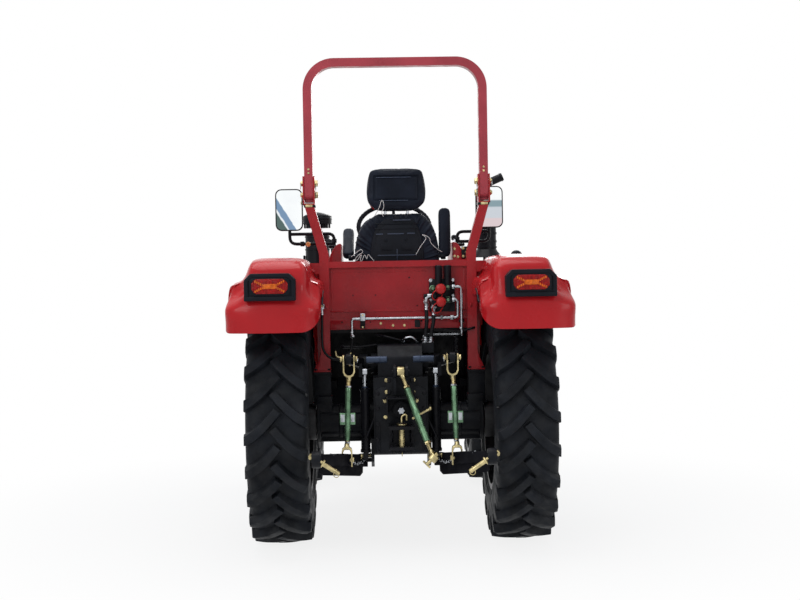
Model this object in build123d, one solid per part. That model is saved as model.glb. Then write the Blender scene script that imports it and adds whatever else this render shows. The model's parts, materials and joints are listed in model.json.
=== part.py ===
from build123d import *
import math
import os

# Farm tractor of about 50 hp, millimetres. +Y is forward, +X is the driver's right, +Z is up.
# While modelling, Y is counted from the rear axle and Z from a datum that is the ground under
# standard tyres. finish() moves all so that the origin is at the bottom centre of the machine.

# Wheels
AXLE_Z = 630.0
WHEELBASE = 2000.0
REAR_TYRE_RADIUS = 630.0
REAR_TYRE_WIDTH = 315.0
REAR_RIM_RADIUS = 356.0
REAR_TREAD = 1245.0
REAR_HUB_RADIUS = 95.0
REAR_DISC_X = -40.0
FRONT_TYRE_RADIUS = 447.5
FRONT_TYRE_WIDTH = 211.0
FRONT_RIM_RADIUS = 254.0
FRONT_TREAD = 1200.0
FRONT_HUB_RADIUS = 62.0
FRONT_HUB_X = (-50.0, 40.0)
FRONT_AXLE_Z = AXLE_Z - REAR_TYRE_RADIUS + FRONT_TYRE_RADIUS
TYRE_TREAD_SHARE = 0.93
BEAD_SHARE = 0.86
FLANGE_HEIGHT = 20.0
RIM_PLATE = 10.0
RIM_HOLES = 8

# Clearances
RUNNING = 0.05
SEAT_GAP = 0.3
MOVING = 5.0

# Rear axle, housings and engine
HUB_SHAFT_RADIUS = 50.0
HUB_SHAFT_DEPTH = 65.0
TRUMPET_RADIUS = 92.0
TRUMPET_END = 440.0
TRUMPET_FLANGE = TRUMPET_RADIUS + 28.0
TRUMPET_FLANGE_X = 168.0
POST_PAD_Z = AXLE_Z + TRUMPET_RADIUS + 12.0
POST_PAD_HALF = 60.0
HOUSING_HALF = 140.0
HOUSING_REAR = -250.0
HOUSING_FRONT = 350.0
HOUSING_BOTTOM = 475.0
HOUSING_TOP = 880.0
LIFT_TOP = 1040.0
LIFT_FRONT = 130.0
LIFT_HALF = 115.0
TUNNEL_HALF = 120.0
BELL_RADIUS = 165.0
ENGINE_REAR = 1080.0
ENGINE_FRONT = WHEELBASE - 300.0
ENGINE_HALF = 150.0
SUMP_HALF = 110.0
ENGINE_BOTTOM = 480.0
ENGINE_TOP = 1150.0

# Front axle
KINGPIN_X = 440.0
KINGPIN_RADIUS = 18.0
BEAM_Z = FRONT_AXLE_Z - 27.5
BEAM_HALF_HEIGHT = 40.0
BEAM_HALF_DEPTH = 50.0
AXLE_PIN_RADIUS = 25.0
EYE_RADIUS = 42.0
EAR_RADIUS = 46.0
EAR_THICKNESS = 25.0
SPINDLE_RADIUS = 30.0
STEER_ARM = 160.0
STEER_ARM_DEPTH = 18.0
STUD_RADIUS = 8.0
TIE_ROD_RADIUS = 12.0
TIE_EYE_RADIUS = 19.0
TIE_EYE_HALF = 13.0
FRAME_HALF = 160.0
FRAME_WALL = 25.0
FRAME_BOTTOM = BEAM_Z + 85.0
FRAME_TOP = FRAME_BOTTOM + 135.0
FRAME_FRONT = WHEELBASE + 480.0
BRACKET_LENGTH = 60.0
BRACKET_HALF = 130.0
BRACKET_HOLE_X = 80.0
BRACKET_HOLE_RADIUS = 9.0
RADIATOR_HALF = 220.0
RADIATOR_TOP = 1160.0
BATTERY_HALF = 130.0
BATTERY_TOP = 860.0

# Roll-over bar
ROPS_Y = -20.0
POST_INNER = 364.0
POST_WIDTH = 50.0
POST_DEPTH = 70.0
POST_FOOT = POST_PAD_Z + 34.0
POST_BEND = 1520.0
POST_TOP = 1780.0
STRUT_X = (408.0, 432.0)
STRUT_TOP = 1330.0
HOOP_HALF = 485.0
HOOP_TUBE = 45.0
HOOP_DEPTH = 60.0
HOOP_TOP = 2550.0
HOOP_CORNER = 165.0
HINGE_PLATE = 8.0
HINGE_GAP = 1.0
HINGE_TOP = 1932.0
HINGE_PIN_RADIUS = 9.0
HINGE_HEAD = 24.0
HINGE_HEAD_RADIUS = 14.0
FOLD_GAP = 16.0
HINGE_Z = POST_TOP + HINGE_PLATE + FOLD_GAP + HOOP_DEPTH / 2
LOCK_Z = 1895.0

# Bodywork
SHEET = 4.0
DECK_Z = 1120.0
DECK_FRONT = 600.0
PANEL_TOP = 1480.0
PANEL_REAR = ROPS_Y - 8.0
PANEL_LIP = 32.0
PANEL_FLANGE = 60.0
FLOOR_Z = 820.0
FLOOR_HALF = 700.0
STEP_X = (640.0, 780.0)
STEP_Y = (800.0, 1040.0)
STEP_Z = 470.0
RAIL_WIDTH = 40.0
TANK_REAR = 60.0
TANK_LENGTH = 320.0
TANK_BOTTOM = 600.0
TANK_OVERHANG = 20.0
TANK_CLEARANCE = 25.0
FENDER_WALL = 6.0
FENDER_IN = 384.0
FENDER_OUT = 862.0
FENDER_CROWN_X = (490.0, 770.0)
FENDER_TOP = 1505.0
FENDER_SHOULDER_IN = 1330.0
FENDER_SHOULDER_OUT = 1290.0
FENDER_LIP = 1150.0
FENDER_REAR = -REAR_TYRE_RADIUS - 60.0
FENDER_FRONT = REAR_TYRE_RADIUS + 60.0
FENDER_FOOT = 800.0
FENDER_SPAN = (FENDER_REAR - 60, FENDER_FRONT + 60)
LAMP_X = 628.0
LAMP_Z = 1363.0
LAMP_HALF = 128.0
LENS_HALF = 92.0
LENS_HALF_HEIGHT = 38.0

# Operator's station
SEAT_HALF = 225.0
SEAT_REAR = 70.0
SEAT_PAN = 20.0
SEAT_BOTTOM = DECK_Z + 70.0
SEAT_TOP = 1310.0
BACK_TOP = 1780.0
HEADREST_TOP = 1990.0
HEADREST_HALF = 154.0
HEADREST_ROD_X = 60.0
HEADREST_ROD_RADIUS = 8.0
CONSOLE_X = 300.0
CONSOLE_RIDGE = 345.0
CONSOLE_TOP = 1580.0
CONSOLE_Y = (120.0, 560.0)
DASH_REAR = 930.0
DASH_FRONT = 1072.0
DASH_HALF = 150.0
DASH_TOP = 1440.0
COLUMN_RADIUS = 32.0
COLUMN_LENGTH = 330.0
STEERING_HUB = 37.0
STEERING_CENTRE = (0.0, 850.0, 1690.0)
STEERING_RADIUS = 225.0
STEERING_RIM = 14.0
STEERING_TILT = 40.0
MIRROR_X = {-1: 593.0, 1: 526.0}
MIRROR_Y = 400.0
MIRROR_Z = 1775.0
MIRROR_HALF = (78.0, 118.0)
MIRROR_TUBE = 9.0
MIRROR_TUBE_Z = (1585.0, 1640.0)

# Hood
HOOD_REAR = 1100.0
HOOD_FRONT = WHEELBASE + 500.0
HOOD_HALF = 290.0
HOOD_BOTTOM = 930.0
HOOD_TOP = 1400.0
HOOD_NOSE_TOP = 1250.0
HOOD_WALL = 3.0
HOOD_HINGE = (1096.0, 1378.0)
HOOD_PIN_RADIUS = 8.0
HOOD_STRAP_X = (100.0, 112.0)
HEADLAMP_X = 185.0
HEADLAMP_HALF = 60.0
HEADLAMP_Z = (1090.0, 1170.0)
STACK_X = 588.0
CLEANER_X = 475.0
STACK_Y = 1290.0
STACK_PIPE_Z = 870.0

# Three-point linkage
LINK_PIVOT = (190.0, -60.0, 430.0)
LINK_END_X = 415.0
LINK_REACH = 760.0
LINK_RISE = 114.0
LINK_SPREAD = (LINK_END_X - LINK_PIVOT[0]) / LINK_REACH
LINK_PIN_RADIUS = 11.0
LINK_EYE_RADIUS = 40.0
LINK_EYE_HALF = 21.0
HITCH_PIN_TILT = 33.0
HITCH_PIN_COLLAR = (32.0, 40.0)
HITCH_PIN_LENGTH = 88.0
LIFT_PIN_REACH = 300.0
LIFT_PIN_RISE = LIFT_PIN_REACH * LINK_RISE / LINK_REACH
LIFT_PIN_RADIUS = 10.0
LIFT_FORK_PIN_RADIUS = 9.0
FORK_GAP = 26.0
FORK_PLATE = 8.0
SHAFT_Z = 940.0
SHAFT_RADIUS = 30.0
ARM_IN_X = 190.0
ARM_OUT_X = 262.0
ARM_WIDTH = 26.0
ARM_DEPTH = 50.0
CYLINDER_X = 184.0
CYLINDER_Y = -180.0
CYLINDER_RADIUS = 24.0
CYLINDER_BOTTOM = 470.0
CYLINDER_TOP = 820.0
CYLINDER_EYE_Z = 905.0
PISTON_RADIUS = 13.0
BRACKET_PLATE = 16.0
BRACKET_TOP = 560.0
TOP_PIN = (0.0, -330.0, 915.0)
TOP_PIN_RADIUS = 9.5
TOP_LINK_END = (150.0, -520.0, 500.0)
TOP_EYE_RADIUS = 25.0
TOP_EYE_HALF = 17.0
TOP_EYE_TILT = 45.0

# Power take-off, trailer hitch and hydraulics
PTO_Z = 715.0
PTO_RADIUS = 17.5
PTO_COLLAR_RADIUS = 24.0
PTO_LENGTH = 80.0
HITCH_Z = (520.0, 640.0)
HITCH_HALF = 62.0
HITCH_LENGTH = 135.0
HITCH_PIN_RADIUS = 14.7
COUPLER_X = 222.0
COUPLER_Z = (1260.0, 1328.0)
COUPLER_RADIUS = 19.0
FITTING_X = COUPLER_X + 39.0
FITTING_RISE = 10.0
MANIFOLD_X = (164.0, 300.0)
MANIFOLD_Z = (1207.0, 1380.0)
VALVE_X = (LIFT_HALF + SEAT_GAP, 180.0)
VALVE_Y = (-104.0, 80.0)
PIPE_Y = -78.0
PIPE_RADIUS = 7.0
PIPE_BEND = 13.0
PORT_RADIUS = 12.0

# Hose routes as x, y, z from the rear axle, each with the hose's radius.
HOSES = {
    "hose_lift": (6.5, [(-403, -90, 1232), (-403, -90, 1160), (-405, -96, 1086), (-402, -99, 1013),
                        (-357, -101, 967), (-293, -97, 967), (-247, -78, 1012), (-247, -78, 1076)]),
    "hose_remote_left": (10.0, [(145, -107, 1250), (145, -107, 1205), (147, -107, 1161), (142, -94, 1116),
                                (138, -86, 1081), (138, -86, 1045.3)]),
    "hose_remote_right": (10.0, [(183, -105, 1222), (183, -105, 1182), (180, -104, 1145), (172, -97, 1113),
                                 (168, -91, 1080), (168, -91, 1045.3)]),
}

nodes = {}


def block(x, y, z):
    """A box between two limits along each axis."""
    size = (x[1] - x[0], y[1] - y[0], z[1] - z[0])
    centre = ((x[0] + x[1]) / 2, (y[0] + y[1]) / 2, (z[0] + z[1]) / 2)
    return Pos(*centre) * Box(*size)


def round_x(radius, x, y, z):
    """A cylinder along X between two limits, centred at y, z."""
    return Pos((x[0] + x[1]) / 2, y, z) * Rot(0, 90, 0) * Cylinder(radius, x[1] - x[0])


def round_y(radius, x, y, z):
    """A cylinder along Y between two limits, centred at x, z."""
    return Pos(x, (y[0] + y[1]) / 2, z) * Rot(90, 0, 0) * Cylinder(radius, y[1] - y[0])


def round_z(radius, x, y, z):
    """A cylinder along Z between two limits, centred at x, y."""
    return Pos(x, y, (z[0] + z[1]) / 2) * Cylinder(radius, z[1] - z[0])


def rod(start, end, radius):
    """A round bar between two points."""
    line = Vector(*end) - Vector(*start)
    return Plane(origin=start, z_dir=line) * Pos(0, 0, line.length / 2) * Cylinder(radius, line.length)


def bar(start, end, width, depth, side=(1, 0, 0)):
    """A flat bar between two points, width measured along the given side direction."""
    line = Vector(*end) - Vector(*start)
    plane = Plane(origin=start, x_dir=side, z_dir=line)
    return plane * Pos(0, 0, line.length / 2) * Box(width, depth, line.length)


def outline(corners):
    """A face from corners (u, v, corner radius)."""
    face = make_face(Polyline(*[(u, v) for u, v, _ in corners], close=True))
    for u, v, radius in corners:
        if radius:
            face = fillet(face.vertices().sort_by_distance((u, v, 0))[0], radius)
    return face


def extrude_x(face, x):
    """Extrude a face drawn as (y, z) between two X limits."""
    return extrude(Plane.YZ.offset(x[0]) * face, amount=x[1] - x[0])


def extrude_y(face, y):
    """Extrude a face drawn as (x, z) between two Y limits."""
    return extrude(Plane.XZ.offset(-y[1]) * face, amount=y[1] - y[0])


def extrude_z(face, z):
    """Extrude a face drawn as (x, y) between two Z limits."""
    return extrude(Plane.XY.offset(z[0]) * face, amount=z[1] - z[0])


def both(shape):
    """The shape and its mirror image on the other side."""
    return [shape, mirror(shape, about=Plane.YZ)]


def wheel_profile(radius, half, rim_radius):
    """Half section of a tyre as (x, r): bead, bulged wall, shoulder and flat tread."""
    tread = half * TYRE_TREAD_SHARE
    bulge = (radius + rim_radius) / 2
    bead = half * BEAD_SHARE
    return [(bead, rim_radius), (bead, rim_radius + FLANGE_HEIGHT + 2), (half, bulge - 20),
            (half, bulge + 40), (tread, radius - 14), (tread - 16, radius)]


def tyre(radius, width, rim_radius, centre):
    """A closed tyre ring about the X axis."""
    half = width / 2
    right = wheel_profile(radius, half, rim_radius)
    left = [(-x, r) for x, r in reversed(right)]
    ring = revolve(Plane.XZ * make_face(Polyline(*right, *left, close=True)), axis=Axis.X)
    return Pos(*centre) * ring


def rim(radius, width, centre, disc_x, hub_radius, hub_x, bore_radius=0.0):
    """A wheel rim: barrel with flanges, dished disc and hub. disc_x and hub_x count from centre."""
    half = width / 2 * BEAD_SHARE
    barrel = round_x(radius - SEAT_GAP, (-half, half), 0, 0)
    barrel -= round_x(radius - SEAT_GAP - RIM_PLATE, (-half - 1, half + 1), 0, 0)
    for side in (-1, 1):
        flange_x = sorted((side * (half + SEAT_GAP), side * (half + RIM_PLATE)))
        flange = round_x(radius + FLANGE_HEIGHT, flange_x, 0, 0)
        flange -= round_x(radius - SEAT_GAP - RIM_PLATE, (flange_x[0] - 1, flange_x[1] + 1), 0, 0)
        joint_x = sorted((side * (half - 1), side * (half + RIM_PLATE)))
        ring = round_x(radius - SEAT_GAP, joint_x, 0, 0)
        ring -= round_x(radius - SEAT_GAP - RIM_PLATE, (joint_x[0] - 1, joint_x[1] + 1), 0, 0)
        barrel += flange + ring
    disc = round_x(radius - 5, (disc_x, disc_x + RIM_PLATE), 0, 0)
    for index in range(RIM_HOLES):
        angle = 2 * math.pi * index / RIM_HOLES
        hole = (radius * 0.72 * math.cos(angle), radius * 0.72 * math.sin(angle))
        disc -= round_x(radius * 0.1, (disc_x - 1, disc_x + RIM_PLATE + 1), hole[0], hole[1])
    hub = round_x(hub_radius, hub_x, 0, 0)
    body = barrel + disc + hub
    if bore_radius:
        body -= round_x(bore_radius, (hub_x[0] - 1, hub_x[0] + 62), 0, 0)
    return Pos(*centre) * body


def wheels():
    """Four tyres and rims. Left-hand pieces are mirror images of the right-hand ones."""
    rear = (REAR_TREAD / 2, 0, AXLE_Z)
    front = (FRONT_TREAD / 2, WHEELBASE, FRONT_AXLE_Z)
    rear_tyre = tyre(REAR_TYRE_RADIUS, REAR_TYRE_WIDTH, REAR_RIM_RADIUS, rear)
    front_tyre = tyre(FRONT_TYRE_RADIUS, FRONT_TYRE_WIDTH, FRONT_RIM_RADIUS, front)
    shaft = TRUMPET_END + SEAT_GAP - rear[0]
    rear_rim = rim(REAR_RIM_RADIUS, REAR_TYRE_WIDTH, rear, REAR_DISC_X, REAR_HUB_RADIUS,
                   (shaft + MOVING, 10))
    shaft_x = (TRUMPET_END - HUB_SHAFT_DEPTH + MOVING, rear[0])
    rear_rim += round_x(HUB_SHAFT_RADIUS, shaft_x, rear[1], rear[2])
    front_rim = rim(FRONT_RIM_RADIUS, FRONT_TYRE_WIDTH, front, 0, FRONT_HUB_RADIUS, FRONT_HUB_X,
                    SPINDLE_RADIUS + RUNNING)
    for name, piece in (("rear_tyre", rear_tyre), ("rear_rim", rear_rim),
                        ("front_tyre", front_tyre), ("front_rim", front_rim)):
        nodes[name + "_right"], nodes[name + "_left"] = both(piece)


def rear_axle_housing():
    """Centre housing with the two axle trumpets and their square end flanges."""
    corners = [(HOUSING_REAR, HOUSING_BOTTOM, 40), (HOUSING_FRONT, HOUSING_BOTTOM + 20, 20),
               (HOUSING_FRONT, HOUSING_TOP - 40, 20), (LIFT_FRONT, HOUSING_TOP, 0),
               (HOUSING_REAR, HOUSING_TOP, 0)]
    body = extrude_x(outline(corners), (-HOUSING_HALF, HOUSING_HALF))
    for side in (-1, 1):
        inner, outer = side * HOUSING_HALF, side * TRUMPET_END
        body += round_x(TRUMPET_FLANGE, sorted((inner, side * TRUMPET_FLANGE_X)), 0, AXLE_Z)
        body += round_x(TRUMPET_RADIUS, sorted((inner, outer)), 0, AXLE_Z)
        body += block(sorted((side * (POST_INNER - 4), side * (TRUMPET_END - 4))),
                      (ROPS_Y - POST_PAD_HALF, ROPS_Y + POST_PAD_HALF), (AXLE_Z, POST_PAD_Z))
        body -= round_x(HUB_SHAFT_RADIUS + RUNNING, sorted((outer - side * HUB_SHAFT_DEPTH, outer + side)),
                        0, AXLE_Z)
    body -= round_y(PTO_COLLAR_RADIUS + RUNNING, 0, (HOUSING_REAR - 1, HOUSING_REAR + 80), PTO_Z)
    nodes["rear_axle_housing"] = body


def lift_housing():
    """Hydraulic lift cover on top of the rear housing, bored for the rocker shaft."""
    corners = [(HOUSING_REAR + 30, HOUSING_TOP, 0), (LIFT_FRONT, HOUSING_TOP, 0),
               (LIFT_FRONT, LIFT_TOP - 30, 20), (LIFT_FRONT - 60, LIFT_TOP, 10),
               (HOUSING_REAR + 90, LIFT_TOP, 30), (HOUSING_REAR + 30, LIFT_TOP - 60, 20)]
    body = extrude_x(outline(corners), (-LIFT_HALF, LIFT_HALF))
    body += round_x(SHAFT_RADIUS + 22, (-150, 150), LINK_PIVOT[1], SHAFT_Z)
    body -= round_x(SHAFT_RADIUS + RUNNING, (-151, 151), LINK_PIVOT[1], SHAFT_Z)
    nodes["lift_housing"] = body


def transmission():
    """Gearbox and clutch housing between the rear housing and the engine."""
    corners = [(HOUSING_FRONT, 520, 0), (ENGINE_REAR, 500, 0), (ENGINE_REAR, FLOOR_Z - 20, 0),
               (HOUSING_FRONT, FLOOR_Z - 30, 0)]
    body = extrude_x(outline(corners), (-TUNNEL_HALF, TUNNEL_HALF))
    body += round_y(BELL_RADIUS, 0, (ENGINE_REAR - 90, ENGINE_REAR), 650)
    nodes["transmission"] = body


def engine_block():
    """The engine as one plain mass at its real size, with its sump."""
    body = block((-ENGINE_HALF, ENGINE_HALF), (ENGINE_REAR, ENGINE_FRONT), (FRAME_TOP - 60, ENGINE_TOP))
    body += block((-SUMP_HALF, SUMP_HALF), (ENGINE_REAR + 40, ENGINE_FRONT - 40),
                  (ENGINE_BOTTOM, FRAME_TOP - 50))
    nodes["engine_block"] = body


def front_frame():
    """Front bolster, bolted to the engine, with the axle saddle and the front bracket."""
    body = block((-FRAME_HALF, FRAME_HALF), (ENGINE_FRONT, FRAME_FRONT), (FRAME_BOTTOM, FRAME_TOP))
    body -= block((-FRAME_HALF + FRAME_WALL, FRAME_HALF - FRAME_WALL), (ENGINE_FRONT + 60, FRAME_FRONT - 60),
                  (FRAME_BOTTOM + 30, FRAME_TOP + 1))
    for y in (WHEELBASE - 90, WHEELBASE + 65):
        body += block((-70, 70), (y, y + 25), (BEAM_Z - 45, FRAME_BOTTOM))
    body -= round_y(AXLE_PIN_RADIUS + SEAT_GAP, 0, (WHEELBASE - 100, WHEELBASE + 100), BEAM_Z)
    bracket_end = FRAME_FRONT + BRACKET_LENGTH
    bracket = block((-BRACKET_HALF, BRACKET_HALF), (FRAME_FRONT, bracket_end), (FRAME_BOTTOM - 40, FRAME_TOP))
    for x in (-BRACKET_HOLE_X, BRACKET_HOLE_X):
        for z in (FRAME_BOTTOM, FRAME_TOP - 40):
            bracket -= round_y(BRACKET_HOLE_RADIUS, x, (FRAME_FRONT - 1, bracket_end + 1), z)
    nodes["front_frame"] = body + bracket


def front_axle_beam():
    """Axle beam with a centre pivot pin and an eye at each end for the kingpin."""
    low, high = BEAM_Z - BEAM_HALF_HEIGHT, BEAM_Z + BEAM_HALF_HEIGHT
    body = block((-KINGPIN_X, KINGPIN_X), (WHEELBASE - BEAM_HALF_DEPTH, WHEELBASE + BEAM_HALF_DEPTH),
                 (low, high))
    body -= block((KINGPIN_X - 60, KINGPIN_X + 1), (WHEELBASE - 60, WHEELBASE + 60), (low - 1, high + 1))
    body -= block((-KINGPIN_X - 1, -KINGPIN_X + 60), (WHEELBASE - 60, WHEELBASE + 60), (low - 1, high + 1))
    for side in (-1, 1):
        body += block(sorted((side * (KINGPIN_X - 61), side * KINGPIN_X)),
                      (WHEELBASE - EYE_RADIUS + 6, WHEELBASE + EYE_RADIUS - 6), (low, high))
        body += round_z(EYE_RADIUS, side * KINGPIN_X, WHEELBASE, (low, high))
        body -= round_z(KINGPIN_RADIUS + RUNNING, side * KINGPIN_X, WHEELBASE, (low - 1, high + 1))
    body += round_y(AXLE_PIN_RADIUS, 0, (WHEELBASE - 100, WHEELBASE + 100), BEAM_Z)
    nodes["front_axle_beam"] = body


def knuckles():
    """Steering knuckles: two ears round the axle eye, a web, the wheel spindle and the steering arm."""
    low, high = BEAM_Z - BEAM_HALF_HEIGHT, BEAM_Z + BEAM_HALF_HEIGHT
    web_x = KINGPIN_X + EAR_RADIUS + MOVING
    ears = ((low - 1 - EAR_THICKNESS, low - 1), (high + 1, high + 1 + EAR_THICKNESS))
    body = round_z(KINGPIN_RADIUS, KINGPIN_X, WHEELBASE, (ears[0][0], ears[1][1]))
    for ear in ears:
        body += round_z(EAR_RADIUS, KINGPIN_X, WHEELBASE, ear)
        body += block((KINGPIN_X, web_x + 10), (WHEELBASE - EAR_RADIUS, WHEELBASE + EAR_RADIUS), ear)
    body += block((web_x, web_x + 20), (WHEELBASE - EAR_RADIUS, WHEELBASE + EAR_RADIUS),
                  (ears[0][0], ears[1][1]))
    body += round_x(SPINDLE_RADIUS, (web_x, FRONT_TREAD / 2 + 8), WHEELBASE, FRONT_AXLE_Z)
    arm_z = (ears[0][0], ears[0][0] + STEER_ARM_DEPTH)
    tip_y = WHEELBASE - STEER_ARM
    body += block((KINGPIN_X - 25, KINGPIN_X + 25), (tip_y, WHEELBASE), arm_z)
    body += round_z(STUD_RADIUS + 16, KINGPIN_X, tip_y, arm_z)
    body += round_z(STUD_RADIUS, KINGPIN_X, tip_y, (arm_z[0] - 30, arm_z[0]))
    nodes["knuckle_right"], nodes["knuckle_left"] = both(body)


def tie_rod():
    """Track rod behind the axle, with an eye round each steering arm's ball stud."""
    y = WHEELBASE - STEER_ARM
    top = BEAM_Z - BEAM_HALF_HEIGHT - 1 - EAR_THICKNESS - 1
    middle = top - TIE_EYE_HALF
    body = round_x(TIE_ROD_RADIUS, (-KINGPIN_X + 15, KINGPIN_X - 15), y, middle)
    for side in (-1, 1):
        body += round_z(TIE_EYE_RADIUS, side * KINGPIN_X, y, (middle - TIE_EYE_HALF, middle + TIE_EYE_HALF))
        body -= round_z(STUD_RADIUS + RUNNING, side * KINGPIN_X, y, (middle - 20, middle + 20))
    nodes["tie_rod"] = body


def radiator():
    """Radiator core and battery in front of the engine, on the front frame."""
    core = block((-RADIATOR_HALF, RADIATOR_HALF), (WHEELBASE + 120, WHEELBASE + 200),
                 (FRAME_TOP, RADIATOR_TOP))
    battery = block((-BATTERY_HALF, BATTERY_HALF), (WHEELBASE + 250, WHEELBASE + 420),
                    (FRAME_TOP, BATTERY_TOP))
    nodes["radiator"] = Compound([core, battery])


def rops_posts():
    """Lower posts, bent outwards to the hinges, each with a foot, clevis plates and a hinge pin."""
    out = POST_INNER + POST_WIDTH
    shift = HOOP_HALF - HOOP_TUBE / 2 - POST_INNER - POST_WIDTH / 2
    corners = [(POST_INNER, POST_FOOT, 0), (out, POST_FOOT, 0), (out, POST_BEND, 90),
               (out + shift, POST_TOP, 0), (POST_INNER + shift, POST_TOP, 0), (POST_INNER, POST_BEND, 90)]
    y = (ROPS_Y - POST_DEPTH / 2, ROPS_Y + POST_DEPTH / 2)
    post = extrude_y(outline(corners), y)
    post += block((POST_INNER - 4, TRUMPET_END - 4), (ROPS_Y - POST_PAD_HALF, ROPS_Y + POST_PAD_HALF),
                  (POST_PAD_Z, POST_FOOT))
    post += block(STRUT_X, (ROPS_Y + 20, ROPS_Y + 28), (POST_FOOT, STRUT_TOP))
    slope = (FENDER_CROWN_X[0] - FENDER_IN) / (FENDER_TOP - FENDER_SHOULDER_IN)
    tab_z = (PANEL_TOP - 64, PANEL_TOP - 6)
    low_x, high_x = [FENDER_IN + (z - FENDER_SHOULDER_IN) * slope - 1 for z in tab_z]
    tab = [(out - 1, tab_z[0], 0), (low_x, tab_z[0], 0), (high_x, tab_z[1], 0), (out - 1, tab_z[1], 0)]
    post += extrude_y(outline(tab), (ROPS_Y - 32, PANEL_REAR))
    inner, outer = HOOP_HALF - HOOP_TUBE - HINGE_GAP, HOOP_HALF + HINGE_GAP
    post += block((inner - HINGE_PLATE, outer + HINGE_PLATE), y, (POST_TOP, POST_TOP + HINGE_PLATE))
    for plate in ((inner - HINGE_PLATE, inner), (outer, outer + HINGE_PLATE)):
        post += block(plate, y, (POST_TOP, HINGE_TOP))
    head_x = (inner - HINGE_HEAD, inner - HINGE_PLATE)
    post += round_x(HINGE_PIN_RADIUS, (head_x[0], outer + 20), ROPS_Y, HINGE_Z)
    for z in (HINGE_Z, LOCK_Z):
        post += round_x(HINGE_HEAD_RADIUS, head_x, ROPS_Y, z)
    nodes["rops_posts"] = Compound(both(post))


def rops_hoop():
    """Upper hoop of box tube with rounded corners, bored at the hinge pins."""
    inner = HOOP_HALF - HOOP_TUBE
    outer_face = outline([(-HOOP_HALF, HINGE_Z, 0), (HOOP_HALF, HINGE_Z, 0),
                          (HOOP_HALF, HOOP_TOP, HOOP_CORNER), (-HOOP_HALF, HOOP_TOP, HOOP_CORNER)])
    inner_face = outline([(-inner, HINGE_Z - 1, 0), (inner, HINGE_Z - 1, 0),
                          (inner, HOOP_TOP - HOOP_TUBE, HOOP_CORNER - HOOP_TUBE),
                          (-inner, HOOP_TOP - HOOP_TUBE, HOOP_CORNER - HOOP_TUBE)])
    y = (ROPS_Y - HOOP_DEPTH / 2, ROPS_Y + HOOP_DEPTH / 2)
    hoop = extrude_y(outer_face, y) - extrude_y(inner_face, (y[0] - 1, y[1] + 1))
    for x in ((-HOOP_HALF, -inner), (inner, HOOP_HALF)):
        hoop += round_x(HOOP_DEPTH / 2, x, ROPS_Y, HINGE_Z)
        hoop -= round_x(HINGE_PIN_RADIUS + RUNNING, (x[0] - 1, x[1] + 1), ROPS_Y, HINGE_Z)
    nodes["rops_hoop"] = hoop


def rear_panel():
    """Sheet panel between the posts with a folded top lip, a lower flange and a centre tab."""
    y = PANEL_REAR
    panel = block((-POST_INNER, POST_INNER), (y, y + SHEET), (DECK_Z, PANEL_TOP))
    panel += block((-POST_INNER, POST_INNER), (y - 24, y + SHEET), (PANEL_TOP - PANEL_LIP, PANEL_TOP))
    panel += block((-POST_INNER, POST_INNER), (y - 16, y + SHEET), (DECK_Z, DECK_Z + PANEL_FLANGE))
    panel += block((-48, 48), (y - 20, y - 16), (DECK_Z - 2, DECK_Z + 36))
    nodes["rear_panel"] = panel


def platform():
    """Seat deck, riser, floor plates and the entry steps, in one folded and welded piece."""
    deck_y = (ROPS_Y + POST_DEPTH / 2 + 2, DECK_FRONT)
    half = FENDER_IN - SEAT_GAP
    floor_front = ENGINE_REAR - MOVING
    floor_z = (FLOOR_Z - SHEET, FLOOR_Z)
    body = block((-half, half), deck_y, (DECK_Z - SHEET, DECK_Z))
    body += block((-half, half), (DECK_FRONT - SHEET, DECK_FRONT), (FLOOR_Z, DECK_Z))
    body += block((-half, half), (deck_y[0], deck_y[0] + 8), (DECK_Z - 20, DECK_Z))
    body += block((-TUNNEL_HALF - 3, TUNNEL_HALF + 3), (DECK_FRONT - SHEET, DASH_REAR - MOVING),
                  (FLOOR_Z - SHEET, FLOOR_Z + SHEET))
    for side in (-1, 1):
        body += block(sorted((side * (DASH_HALF + 10), side * FLOOR_HALF)),
                      (FENDER_FRONT + MOVING, ENGINE_REAR + 60), floor_z)
        body += block(sorted((side * (TUNNEL_HALF + SEAT_GAP), side * half)),
                      (DECK_FRONT - SHEET, floor_front), floor_z)
        for x in (TUNNEL_HALF + SEAT_GAP, half - RAIL_WIDTH):
            body += block(sorted((side * x, side * (x + RAIL_WIDTH))), (HOUSING_FRONT + MOVING, floor_front),
                          (FLOOR_Z - SHEET - RAIL_WIDTH, FLOOR_Z - SHEET))
        for y in (STEP_Y[0], STEP_Y[1] - 30):
            body += block(sorted((side * STEP_X[0], side * (STEP_X[0] + 10))), (y, y + 30),
                          (STEP_Z, FLOOR_Z - SHEET))
        body += block(sorted((side * STEP_X[0], side * STEP_X[1])), STEP_Y, (STEP_Z - SHEET, STEP_Z + SHEET))
    nodes["platform"] = body


def side_tanks():
    """Fuel tank and battery box: each hangs under a floor plate, its neck between the floor's two rails."""
    rear = DECK_FRONT + TANK_REAR
    y = (rear, rear + TANK_LENGTH)
    rail_z = FLOOR_Z - SHEET - RAIL_WIDTH
    inner = TUNNEL_HALF + SEAT_GAP
    outer = FENDER_IN - SEAT_GAP
    for node, side in (("fuel_tank", -1), ("battery_box", 1)):
        wide = sorted((side * (inner + TANK_CLEARANCE), side * (outer + TANK_OVERHANG)))
        body = block(wide, y, (TANK_BOTTOM, rail_z))
        body = fillet(body.edges().filter_by(Axis.Y), RAIL_WIDTH / 2)
        neck = sorted((side * (inner + RAIL_WIDTH + SEAT_GAP), side * (outer - RAIL_WIDTH - SEAT_GAP)))
        nodes[node] = body + block(neck, y, (rail_z - 1, FLOOR_Z - SHEET))


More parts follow.
